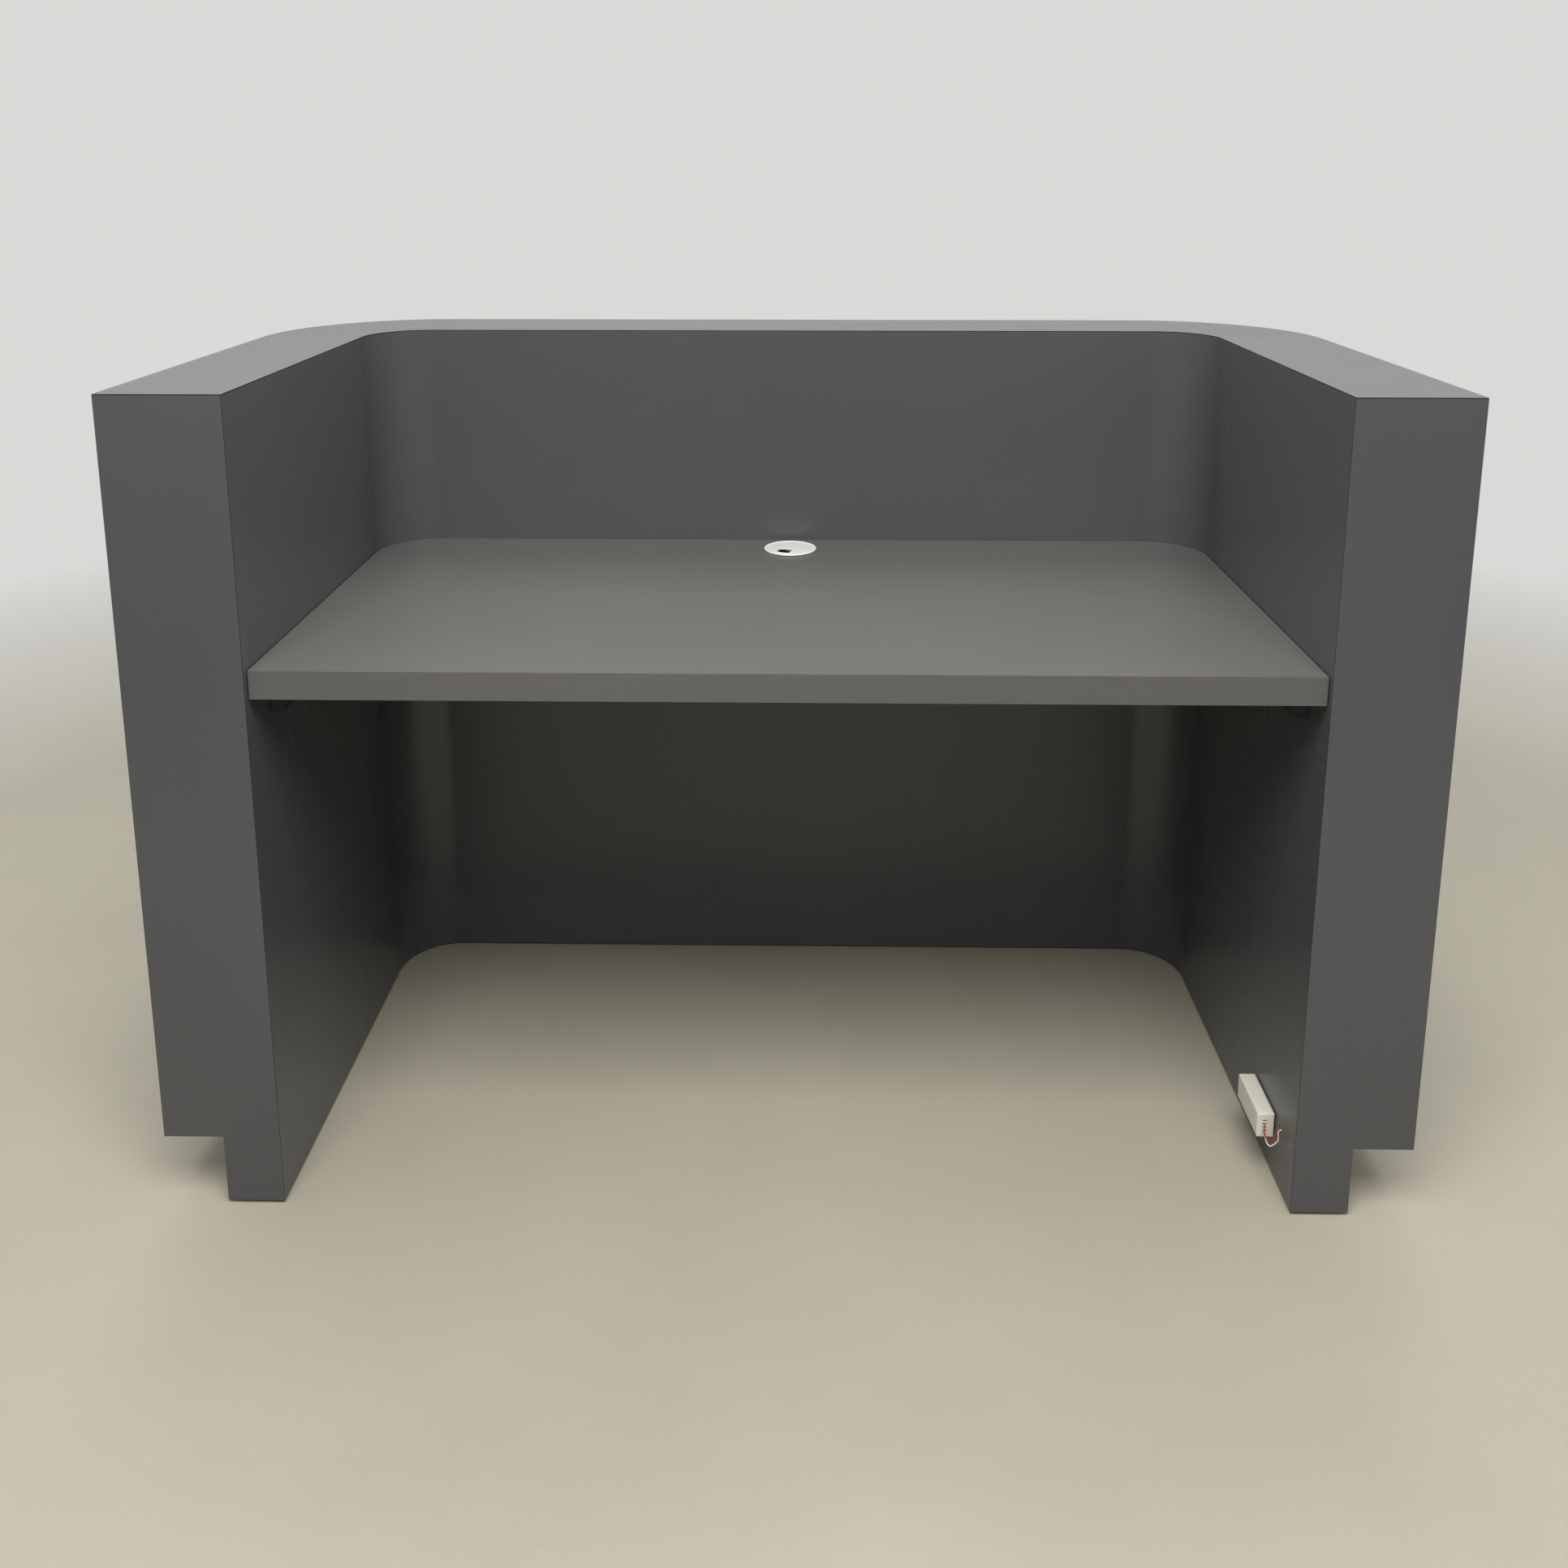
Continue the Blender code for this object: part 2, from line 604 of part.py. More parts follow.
def driver():
    """The strip light's driver: an open-ended case, its front cover, terminals and circuit board."""
    tape_far = WIDTH / 2 - WALL - GAP
    tape_near = tape_far - TAPE
    right = tape_near - GAP
    left = WIDTH / 2 - WALL - DRIVER_OUT
    rear = DRIVER_FRONT + DRIVER_LENGTH
    low = DRIVER_LOW
    high = low + DRIVER_HEIGHT
    case_front = DRIVER_FRONT + DRIVER_COVER + GAP
    case = box("driver_case", (left, case_front, low), (right, rear, high), WHITE_PLASTIC)
    hollow_low = (left + DRIVER_WALL, case_front - CUT_PAST, low + DRIVER_WALL)
    hollow_high = (right - DRIVER_WALL, rear - DRIVER_WALL, high - DRIVER_WALL)
    cut(case, guide("case_hollow", box_mesh("case_hollow", hollow_low, hollow_high)))
    cover_low = (left, DRIVER_FRONT, low)
    cover_high = (right, DRIVER_FRONT + DRIVER_COVER, high)
    cover = box("driver_cover", cover_low, cover_high, WHITE_PLASTIC)
    terminals(cover, (left + right) / 2 + TERMINAL_SHIFT, case_front)
    block_rear = case_front + TERMINAL_BLOCK_DEPTH
    board_left = left + 2 * DRIVER_WALL
    board_low = (board_left, block_rear + CIRCUIT_BOARD_THICKNESS, low + 2 * DRIVER_WALL)
    board_right = board_left + CIRCUIT_BOARD_THICKNESS
    board_high = (board_right, rear - 2 * DRIVER_WALL, high - 2 * DRIVER_WALL)
    box("driver_circuit_board", board_low, board_high, CIRCUIT_BOARD)
    tape_low = (tape_near, DRIVER_FRONT + TAPE_MARGIN_ALONG, low + TAPE_MARGIN_UP)
    tape_high = (tape_far, rear - TAPE_MARGIN_ALONG, high - TAPE_MARGIN_UP)
    box("driver_tape", tape_low, tape_high, FOAM_TAPE)


def terminals(cover, centre_x, block_front):
    """The block behind the cover, with a row of mouths that also go through the cover."""
    first = DRIVER_LOW + TERMINAL_FIRST_UP
    last = first + TERMINAL_PITCH * (TERMINALS - 1)
    half_width = SLOT_WIDTH_HALF + TERMINAL_BLOCK_MARGIN
    reach_up = SLOT_HEIGHT_HALF + TERMINAL_BLOCK_MARGIN
    block_low = (centre_x - half_width, block_front, first - reach_up)
    block_high = (centre_x + half_width, block_front + TERMINAL_BLOCK_DEPTH, last + reach_up)
    block = box("driver_terminals", block_low, block_high, BLACK_PLASTIC)
    for number in range(TERMINALS):
        level = first + TERMINAL_PITCH * number
        name = f"terminal_mouth_{number + 1}"
        low = (centre_x - SLOT_WIDTH_HALF, DRIVER_FRONT - CUT_PAST, level - SLOT_HEIGHT_HALF)
        high = (centre_x + SLOT_WIDTH_HALF, block_front + TERMINAL_MOUTH_DEPTH, level + SLOT_HEIGHT_HALF)
        mouth = guide(name, box_mesh(name, low, high))
        cut(cover, mouth)
        cut(block, mouth)


# The two leads, and where they pass through the inner wall and the underside board.
LEAD_RADIUS = 0.0009
LEAD_POINT_SPACING = 0.006
LEAD_HOLE_RADIUS = 0.0050
WALL_HOLE = (-0.3435, 0.0880)
WALL_HOLE_RADIUS = 0.0060
WALL_HOLE_REACH = 0.020
LEAD_SOFFIT_IN = 0.128
LEAD_Y = -0.3560
LEAD_ABOVE_SOFFIT = 0.012
LEAD_GUIDE_TOP = 0.140
LEAD_SIDE_STEP = 0.0030
LEAD_ENTRY_X = -0.0025
# For each lead: its side (0 inner, 1 outer), terminal level, bow, drop, lowest level and place in the hole.
LEAD_RUNS = {
    "red_lead": (0, 0.0201, -0.0025, 0.0050, 0.0615, 0.0022),
    "white_lead": (1, 0.0095, 0.0005, 0.0065, 0.0560, -0.0014),
}


def smooth_route(points, spacing):
    """Points along a Catmull-Rom curve through the route's own points, about one spacing apart."""
    ends = [points[0] + (points[0] - points[1]), *points, points[-1] + (points[-1] - points[-2])]
    fine = []
    for before, start, end, after in zip(ends, ends[1:], ends[2:], ends[3:]):
        pieces = max(1, round((end - start).length / spacing))
        for piece in range(pieces):
            t = piece / pieces
            fine.append(
                0.5
                * (
                    2 * start
                    + (end - before) * t
                    + (2 * before - 5 * start + 4 * end - after) * t * t
                    + (3 * start - before - 3 * end + after) * t * t * t
                )
            )
    fine.append(points[-1])
    return fine


def lead(name, route, look):
    line = bpy.data.curves.new(name, "CURVE")
    line.dimensions = "3D"
    line.bevel_depth = LEAD_RADIUS
    line.bevel_resolution = 2
    line.use_fill_caps = True
    points = smooth_route([Vector(point) for point in route], LEAD_POINT_SPACING)
    spline = line.splines.new("POLY")
    spline.points.add(len(points) - 1)
    for target, point in zip(spline.points, points):
        target.co = (*point, 1.0)
    thing = bpy.data.objects.new(name, line)
    bpy.context.collection.objects.link(thing)
    paint(thing, name, look)


def lead_holes(inner_panel, soffit, channel):
    """A level hole through the inner wall, and upright ones through the underside board and channel."""
    reach = WALL_HOLE_REACH
    profile = [(0, -reach), (WALL_HOLE_RADIUS, -reach), (WALL_HOLE_RADIUS, reach), (0, reach)]
    for target in (inner_panel, bpy.data.objects["inner_laminate"]):
        name = "lead_hole_" + target.name
        cutter = guide(name, turned_mesh(name, profile, (0, 0), SMALL_STEPS, True))
        cutter.rotation_euler = (0, math.pi / 2, 0)
        cutter.location = (WIDTH / 2 - WALL, *WALL_HOLE)
        cut(target, cutter)
    rise = (WIDTH / 2 - LEAD_SOFFIT_IN, LEAD_Y)
    drop = (WIDTH / 2 - CHANNEL_IN - CHANNEL_WIDTH / 2, LEAD_Y)
    below = TOE_HEIGHT - CUT_PAST
    inside = TOE_HEIGHT + CHANNEL_HEIGHT / 2
    top = LEAD_GUIDE_TOP
    cut(soffit, cylinder_guide("lead_rise_hole", rise, LEAD_HOLE_RADIUS, below, top, SMALL_STEPS))
    cut(soffit, cylinder_guide("lead_drop_hole", drop, LEAD_HOLE_RADIUS, below, top, SMALL_STEPS))
    cut(channel, cylinder_guide("lead_channel_hole", drop, LEAD_HOLE_RADIUS, inside, top, SMALL_STEPS))


def lead_route(side, start_z, bow, drop, low, in_hole):
    """A lead's way from its terminal, in a loop to the wall, over the underside board and to the strip."""
    wall = WIDTH / 2 - WALL
    hole_y, hole_z = WALL_HOLE
    rise_x = WIDTH / 2 - LEAD_SOFFIT_IN
    strip_x = WIDTH / 2 - CHANNEL_IN - CHANNEL_WIDTH / 2
    strip_top = TOE_HEIGHT + CHANNEL_HEIGHT - CHANNEL_WALL - GAP
    front = DRIVER_FRONT
    shared_x = wall - DRIVER_OUT / 2 + LEAD_ENTRY_X
    board_top = TOE_HEIGHT + BOARD
    above = board_top + LEAD_ABOVE_SOFFIT
    level = DRIVER_LOW + start_z
    shift = LEAD_SIDE_STEP * side
    pass_z = hole_z + in_hole
    return [
        (shared_x, front + 0.0070, level),
        (shared_x, front + 0.0015, level),
        (shared_x, front - 0.0040, level),
        (shared_x + bow, front - 0.0085 - shift * 0.5, level - drop),
        (shared_x + 0.0010, front - 0.0115 - shift, low + 0.0050),
        (shared_x + 0.0045, front - 0.0155 - shift, low + 0.0040),
        (wall - 0.0056 + shift, front - 0.0190 - shift * 0.6, low + 0.0140),
        (wall - 0.0054 + shift * 0.9, hole_y, pass_z - 0.0040),
        (wall + 0.0010, hole_y, pass_z),
        (wall + 0.0110, hole_y, pass_z),
        (wall + 0.0210, hole_y - 0.0060, pass_z + 0.0040),
        (rise_x - 0.0015 + shift, LEAD_Y + 0.0015 - shift * 0.5, TOE_HEIGHT + 0.0030),
        (rise_x - 0.0005 + shift, LEAD_Y - shift * 0.5, board_top),
        (rise_x + 0.0100 + shift * 0.3, LEAD_Y - shift * 0.6, above + 0.0060 - shift),
        ((rise_x + strip_x) / 2, LEAD_Y - shift * 0.8, above + 0.0040 - shift),
        (strip_x - 0.0100 - shift * 0.3, LEAD_Y - shift * 0.6, above + 0.0060 - shift),
        (strip_x + 0.0015 - shift, LEAD_Y - shift * 0.5, board_top),
        (strip_x + 0.0015 - shift, LEAD_Y - shift * 0.5, strip_top + GAP + LEAD_RADIUS * 0.5),
    ]


def leads():
    """Two leads from the driver to the strip; each keeps to its own side, so the two never touch."""
    lead("red_lead", lead_route(*LEAD_RUNS["red_lead"]), RED_PVC)
    lead("white_lead", lead_route(*LEAD_RUNS["white_lead"]), WHITE_PLASTIC)


# ------------------------------------------------------------------------------------ levelling feet


def levelling_feet(base):
    """Six feet: a pad on a threaded stem, in an insert pressed into the base board."""
    pad_top = FLOOR_GAP - GAP
    board_top = FLOOR_GAP + BOARD
    flange_low = board_top + GAP
    foot = [
        (0, 0),
        (FOOT_RADIUS - FOOT_EDGE, 0),
        (FOOT_RADIUS, FOOT_EDGE),
        (FOOT_RADIUS, pad_top - FOOT_SLOPE_RISE),
        (FOOT_RADIUS - FOOT_SLOPE_RUN, pad_top),
        (STEM_RADIUS, pad_top),
        (STEM_RADIUS, STEM_TOP - FOOT_EDGE),
        (STEM_RADIUS - FOOT_EDGE, STEM_TOP),
        (0, STEM_TOP),
    ]
    insert = [
        (INSERT_BORE, board_top - INSERT_DEPTH),
        (INSERT_RADIUS, board_top - INSERT_DEPTH),
        (INSERT_RADIUS, flange_low),
        (INSERT_FLANGE_RADIUS, flange_low),
        (INSERT_FLANGE_RADIUS, flange_low + INSERT_FLANGE),
        (INSERT_BORE, flange_low + INSERT_FLANGE),
    ]
    hole_radius = INSERT_RADIUS + GAP
    for where, centre in FOOT_PLACES.items():
        turned(f"foot_{where}", foot, centre, RUBBER, SMALL_STEPS, closed_on_axis=True)
        turned(f"insert_{where}", insert, centre, ZINC, SMALL_STEPS)
        name = f"insert_hole_{where}"
        cut(base, cylinder_guide(name, centre, hole_radius, -CUT_PAST, board_top + CUT_PAST, SMALL_STEPS))


def main():
    clear_scene()
    shell_skins()
    inner_panel, soffit, base = shell_boards()
    studs()
    worktop()
    cleats()
    grommet_liner()
    grommet_cap()
    grommet_shutter()
    grommet_pivot()
    channel = strip_light(soffit)
    driver()
    lead_holes(inner_panel, soffit, channel)
    leads()
    levelling_feet(base)


main()
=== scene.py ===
"""Looks of the U-shaped service counter: laminates, worktop, cable grommet, driver, strip light and feet.

Metres, +Z up, in the CAD model's own frame.  The open side, where the operator sits, faces -Y.
"""

import math

import bmesh
import bpy
from mathutils import Matrix, Vector


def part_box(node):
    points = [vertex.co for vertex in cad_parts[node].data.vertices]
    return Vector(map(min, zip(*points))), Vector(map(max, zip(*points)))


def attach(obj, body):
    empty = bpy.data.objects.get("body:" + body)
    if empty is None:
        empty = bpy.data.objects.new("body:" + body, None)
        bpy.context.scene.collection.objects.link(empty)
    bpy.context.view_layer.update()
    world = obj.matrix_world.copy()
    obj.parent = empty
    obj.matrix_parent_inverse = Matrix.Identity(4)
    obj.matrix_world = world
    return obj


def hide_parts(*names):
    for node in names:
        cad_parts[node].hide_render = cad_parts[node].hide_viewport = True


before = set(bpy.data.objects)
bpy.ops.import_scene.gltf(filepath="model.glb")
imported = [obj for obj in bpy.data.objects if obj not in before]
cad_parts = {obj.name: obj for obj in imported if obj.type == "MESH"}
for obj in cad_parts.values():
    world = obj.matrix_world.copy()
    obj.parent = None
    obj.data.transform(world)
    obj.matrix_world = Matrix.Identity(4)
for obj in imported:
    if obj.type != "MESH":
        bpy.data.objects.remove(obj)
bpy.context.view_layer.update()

# Sizes that the CAD boxes give.
SHELL_LOW, SHELL_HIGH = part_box("top_laminate")
OUTER_LOW, OUTER_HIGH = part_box("outer_laminate")
INNER_LOW, INNER_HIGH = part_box("inner_laminate")
TOE_LOW, TOE_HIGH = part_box("toe_laminate")
END_LOW, END_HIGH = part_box("left_end_laminate")
TOP_LOW, TOP_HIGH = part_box("worktop_laminate")
EDGING_LOW, EDGING_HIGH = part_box("worktop_edging")
LINER_LOW, LINER_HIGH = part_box("grommet_liner")
SHUTTER_BOTTOM, SHUTTER_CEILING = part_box("grommet_shutter")
CASE_LOW, CASE_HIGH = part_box("driver_case")
COVER_LOW, COVER_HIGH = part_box("driver_cover")
BLOCK_LOW, BLOCK_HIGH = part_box("driver_terminals")
STRIP_LOW, STRIP_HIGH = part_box("light_strip")

HALF_WIDTH = SHELL_HIGH.x
HALF_DEPTH = SHELL_HIGH.y
LAMINATE = SHELL_HIGH.z - SHELL_LOW.z
WALL = HALF_WIDTH - INNER_HIGH.x + LAMINATE
TOE_IN = HALF_WIDTH - TOE_HIGH.x
SKIN_FRONT = OUTER_LOW.y
WORKTOP_IN = HALF_WIDTH - TOP_HIGH.x
WORKTOP_TOP = TOP_HIGH.z
TOE_RISE = OUTER_LOW.z
FLOOR_GAP = INNER_LOW.z

# Sizes of the CAD model that a box doesn't give.
OUTER_RADIUS = 0.247
GAP = 0.0003
GROMMET_CENTRE = Vector((0.0, 0.182))
GROMMET_HOLE_RADIUS = 0.040
WALL_HOLE = (-0.3435, 0.0880)
WALL_HOLE_RADIUS = 0.0060

# Fineness of round shapes.
CORNER_STEPS = 48
RING_STEPS = 128
ARRIS = 0.00018

BACKDROP = (0.70, 0.695, 0.68)


# ------------------------------------------------------------------------------------------ mesh tools


def new_object(name, data):
    thing = bpy.data.objects.new(name, data)
    bpy.context.scene.collection.objects.link(thing)
    return thing


def object_from(name, shape):
    """A new object from a bmesh, which is freed."""
    mesh = bpy.data.meshes.new(name)
    shape.to_mesh(mesh)
    shape.free()
    return new_object(name, mesh)


def mesh_object(name, build):
    """A new object from a function that fills a bmesh; its faces are turned outward."""
    shape = bmesh.new()
    build(shape)
    bmesh.ops.recalc_face_normals(shape, faces=shape.faces)
    return object_from(name, shape)


def bridge(shape, here, there):
    """Faces between two rings that have the same number of points."""
    for number in range(len(here)):
        after = (number + 1) % len(here)
        shape.faces.new((here[number], here[after], there[after], there[number]))


def closed_tube(shape, rings):
    """Faces along a row of rings, and one over each end."""
    for here, there in zip(rings, rings[1:]):
        bridge(shape, here, there)
    shape.faces.new(rings[0])
    shape.faces.new(rings[-1])


def smooth(thing, degrees=35):
    """Shades round stretches smooth and keeps the arrises sharp."""
    thing.data.shade_smooth()
    thing.data.set_sharp_from_angle(angle=math.radians(degrees))


def round_arrises(thing, width=ARRIS, degrees=40):
    """Rounds the edges that are sharper than an angle."""
    bevel = thing.modifiers.new("arrises", "BEVEL")
    bevel.width = width
    bevel.segments = 2
    bevel.limit_method = "ANGLE"
    bevel.angle_limit = math.radians(degrees)
    bevel.use_clamp_overlap = True
    bevel.harden_normals = True


def cut_away(thing, cutters):
    """Subtracts closed shapes, which are then removed."""
    for cutter in cutters:
        modifier = thing.modifiers.new("cut", "BOOLEAN")
        modifier.object = cutter
        modifier.operation = "DIFFERENCE"
        modifier.solver = "EXACT"
    settle(thing)
    for cutter in cutters:
        bpy.data.objects.remove(cutter, do_unlink=True)


def settle(thing):
    """Replaces an object's mesh by what its modifiers make of it."""
    bpy.context.view_layer.update()
    graph = bpy.context.evaluated_depsgraph_get()
    mesh = bpy.data.meshes.new_from_object(thing.evaluated_get(graph))
    thing.modifiers.clear()
    thing.data = mesh


def shell_line(inset, front):
    """Points of a line that follows the shell at a distance in from its outer face, left end first."""
    half = HALF_WIDTH - inset
    back = HALF_DEPTH - inset
    radius = OUTER_RADIUS - inset
    line = [(-half, front)]
    for step in range(CORNER_STEPS + 1):
        turn = math.pi / 2 * step / CORNER_STEPS
        line.append((-half + radius - radius * math.cos(turn), back - radius + radius * math.sin(turn)))
    for step in range(CORNER_STEPS + 1):
        turn = math.pi / 2 * step / CORNER_STEPS
        line.append((half - radius + radius * math.sin(turn), back - radius + radius * math.cos(turn)))
    line.append((half, front))
    return line


def band(name, outer_in, inner_in, front, low, high):
    """A U-shaped band between two distances in from the outer face."""

    def build(shape):
        rings = []
        for (ox, oy), (ix, iy) in zip(shell_line(outer_in, front), shell_line(inner_in, front)):
            corners = ((ox, oy, low), (ox, oy, high), (ix, iy, high), (ix, iy, low))
            rings.append([shape.verts.new(corner) for corner in corners])
        closed_tube(shape, rings)

    return mesh_object(name, build)


def prism(name, outline, low, high, axis="Z"):
    """An outline stretched along Z, or an XZ outline stretched along Y, or a YZ outline along X."""

    def point(u, v, along):
        if axis == "Z":
            return (u, v, along)
        if axis == "Y":
            return (u, along, v)
        return (along, u, v)

    def build(shape):
        bottom = [shape.verts.new(point(u, v, low)) for u, v in outline]
        top = [shape.verts.new(point(u, v, high)) for u, v in outline]
        shape.faces.new(bottom)
        shape.faces.new(top)
        bridge(shape, bottom, top)

    return mesh_object(name, build)


def box_shape(name, low, high):
    outline = [(low[0], low[1]), (high[0], low[1]), (high[0], high[1]), (low[0], high[1])]
    return prism(name, outline, low[2], high[2])


def turned(name, profile, centre, steps=RING_STEPS):
    """A closed profile of (radius, height) points turned about a vertical axis; radius 0 is on the axis."""

    def build(shape):
        rings = []
        for radius, height in profile:
            if radius == 0:
                rings.append([shape.verts.new((centre[0], centre[1], height))])
                continue
            ring = []
            for step in range(steps):
                turn = 2 * math.pi * step / steps
                x = centre[0] + radius * math.cos(turn)
                y = centre[1] + radius * math.sin(turn)
                ring.append(shape.verts.new((x, y, height)))
            rings.append(ring)
        pairs = list(zip(rings, rings[1:]))
        if profile[0][0] > 0:
            pairs.append((rings[-1], rings[0]))
        for here, there in pairs:
            for step in range(steps):
                after = (step + 1) % steps
                if len(here) == 1:
                    shape.faces.new((here[0], there[step], there[after]))
                elif len(there) == 1:
                    shape.faces.new((here[step], here[after], there[0]))
                else:
                    shape.faces.new((here[step], here[after], there[after], there[step]))

    return mesh_object(name, build)


def arc(centre, radius, start, end, steps):
    """Points of an arc of (radius, height) or (x, y) points, angles in degrees."""
    points = []
    for step in range(steps + 1):
        turn = math.radians(start + (end - start) * step / steps)
        points.append((centre[0] + radius * math.cos(turn), centre[1] + radius * math.sin(turn)))
    return points


def finish_piece(piece, body, slot, materials, *nodes):
    """Gives a piece its materials, puts it on a body and hides the CAD nodes it stands for."""
    if not isinstance(materials, (list, tuple)):
        materials = [materials]
    for material in materials:
        piece.data.materials.append(material)
    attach(piece, body)
    if nodes:
        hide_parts(*nodes)
    return piece


# ------------------------------------------------------------------------------------- material tools


def new_material(name):
    material = bpy.data.materials.new(name)
    material.use_nodes = True
    return material, material.node_tree, material.node_tree.nodes["Principled BSDF"]


def connect(tree, source, target):
    tree.links.new(source, target)


def drawn_out(axis, share):
    """A stretch that draws a pattern out along one axis."""
    return tuple(share if name == axis else 1.0 for name in "XYZ")


def position(tree, stretch=(1, 1, 1)):
    """The object's own coordinates in metres, stretched along each axis."""
    coordinates = tree.nodes.new("ShaderNodeTexCoord")
    mapping = tree.nodes.new("ShaderNodeMapping")
    mapping.inputs["Scale"].default_value = stretch
    connect(tree, coordinates.outputs["Object"], mapping.inputs["Vector"])
    return mapping.outputs["Vector"]


def noise(tree, where, scale, detail=3.0, roughness=0.5, distortion=0.0):
    texture = tree.nodes.new("ShaderNodeTexNoise")
    texture.inputs["Scale"].default_value = scale
    texture.inputs["Detail"].default_value = detail
    texture.inputs["Roughness"].default_value = roughness
    texture.inputs["Distortion"].default_value = distortion
    connect(tree, where, texture.inputs["Vector"])
    return texture.outputs["Fac"]


def cells(tree, where, scale, feature="F1"):
    texture = tree.nodes.new("ShaderNodeTexVoronoi")
    texture.feature = feature
    texture.inputs["Scale"].default_value = scale
    connect(tree, where, texture.inputs["Vector"])
    return texture.outputs["Distance"]


def axes_of(tree, vector):
    """A vector's outputs "X", "Y" and "Z"."""
    split = tree.nodes.new("ShaderNodeSeparateXYZ")
    connect(tree, vector, split.inputs["Vector"])
    return split.outputs


def remap(tree, value, from_low, from_high, to_low, to_high):
    node = tree.nodes.new("ShaderNodeMapRange")
    node.inputs["From Min"].default_value = from_low
    node.inputs["From Max"].default_value = from_high
    node.inputs["To Min"].default_value = to_low
    node.inputs["To Max"].default_value = to_high
    connect(tree, value, node.inputs["Value"])
    return node.outputs["Result"]


def spread(tree, value):
    """The middle range of a noise, spread over 0 to 1."""
    return remap(tree, value, 0.3, 0.7, 0.0, 1.0)


def compute(tree, operation, first, second):
    """A Math node; each operand is a socket or a number."""
    node = tree.nodes.new("ShaderNodeMath")
    node.operation = operation
    for socket, operand in zip(node.inputs, (first, second)):
        if isinstance(operand, (int, float)):
            socket.default_value = operand
        else:
            connect(tree, operand, socket)
    return node.outputs["Value"]


def blend_colours(tree, factor, first, second):
    """Mixes two colours; each is a socket or a tuple, and the factor is a socket or a number."""
    node = tree.nodes.new("ShaderNodeMix")
    node.data_type = "RGBA"
    if isinstance(factor, (int, float)):
        node.inputs[0].default_value = factor
    else:
        connect(tree, factor, node.inputs[0])
    for socket, colour in zip((node.inputs[6], node.inputs[7]), (first, second)):
        if isinstance(colour, tuple):
            socket.default_value = (*colour, 1.0)
        else:
            connect(tree, colour, socket)
    return node.outputs[2]


def scaled(colour, factor):
    return tuple(channel * factor for channel in colour)


def raise_bumps(tree, shader, heights):
    """Chains Bump nodes: each height is (socket, strength, distance in metres)."""
    normal = None
    for height, strength, distance in heights:
        bump = tree.nodes.new("ShaderNodeBump")
        bump.inputs["Strength"].default_value = strength
        bump.inputs["Distance"].default_value = distance
        connect(tree, height, bump.inputs["Height"])
        if normal is not None:
            connect(tree, normal, bump.inputs["Normal"])
        normal = bump.outputs["Normal"]
    connect(tree, normal, shader.inputs["Normal"])


def dress(tree, shader, tone, roughness, heights):
    """Gives a shader its colour, roughness and bumps."""
    connect(tree, tone, shader.inputs["Base Color"])
    connect(tree, roughness, shader.inputs["Roughness"])
    raise_bumps(tree, shader, heights)


# ------------------------------------------------------------------------------------------ materials


def laminate_material(name, colour, roughness, dust):
    """Matte decorative laminate: a fine suede grain, soft cloudiness, wiping marks and specks of dust."""
    material, tree, shader = new_material(name)
    where = position(tree)
    clouds = noise(tree, where, 2.3, 4.0, 0.55)
    grain = noise(tree, where, 1400.0, 2.0, 0.6)
    fleck = noise(tree, where, 420.0, 3.0, 0.65)
    tone = blend_colours(tree, spread(tree, clouds), scaled(colour, 0.95), scaled(colour, 1.05))
    coarse = remap(tree, fleck, 0.3, 0.7, 0.0, 0.4)
    fine = compute(tree, "ADD", remap(tree, grain, 0.3, 0.7, 0.0, 0.6), coarse)
    tone = blend_colours(tree, fine, blend_colours(tree, 0.06, tone, (0.0, 0.0, 0.0)), tone)
    speck = remap(tree, cells(tree, where, 24.0), 0.010, 0.018, 1.0, 0.0)
    chance = noise(tree, where, 9.0, 2.0, 0.5)
    speck = compute(tree, "MULTIPLY", speck, remap(tree, chance, 0.55, 0.66, 0.0, dust))
    tone = blend_colours(tree, speck, tone, (0.42, 0.40, 0.36))
    wiping = noise(tree, position(tree, (3.0, 3.0, 1.2)), 2.6, 5.0, 0.6, 0.8)
    gloss = remap(tree, wiping, 0.25, 0.75, roughness - 0.012, roughness + 0.016)
    gloss = compute(tree, "ADD", gloss, remap(tree, grain, 0.0, 1.0, -0.02, 0.02))
    shader.inputs["IOR"].default_value = 1.5
    shader.inputs["Specular IOR Level"].default_value = 0.5
    waves = noise(tree, where, 3.1, 1.0, 0.4)
    heights = [(waves, 0.12, 0.0008), (grain, 0.16, 0.00012), (fleck, 0.08, 0.00020)]
    dress(tree, shader, tone, gloss, heights)
    return material


def core_material(name, colour):
    """The sawn edge of a laminate sheet: dark resin-soaked paper with faint layers and file marks."""
    material, tree, shader = new_material(name)
    where = position(tree)
    marks = noise(tree, position(tree, (1.0, 1.0, 0.15)), 900.0, 3.0, 0.6)
    stain = noise(tree, where, 14.0, 3.0, 0.6)
    tone = blend_colours(tree, spread(tree, stain), scaled(colour, 0.75), scaled(colour, 1.35))
    tone = blend_colours(tree, remap(tree, marks, 0.35, 0.65, 0.0, 0.5), tone, scaled(colour, 1.9))
    shader.inputs["Specular IOR Level"].default_value = 0.15
    dress(tree, shader, tone, remap(tree, marks, 0.3, 0.7, 0.55, 0.75), [(marks, 0.25, 0.0001)])
    return material


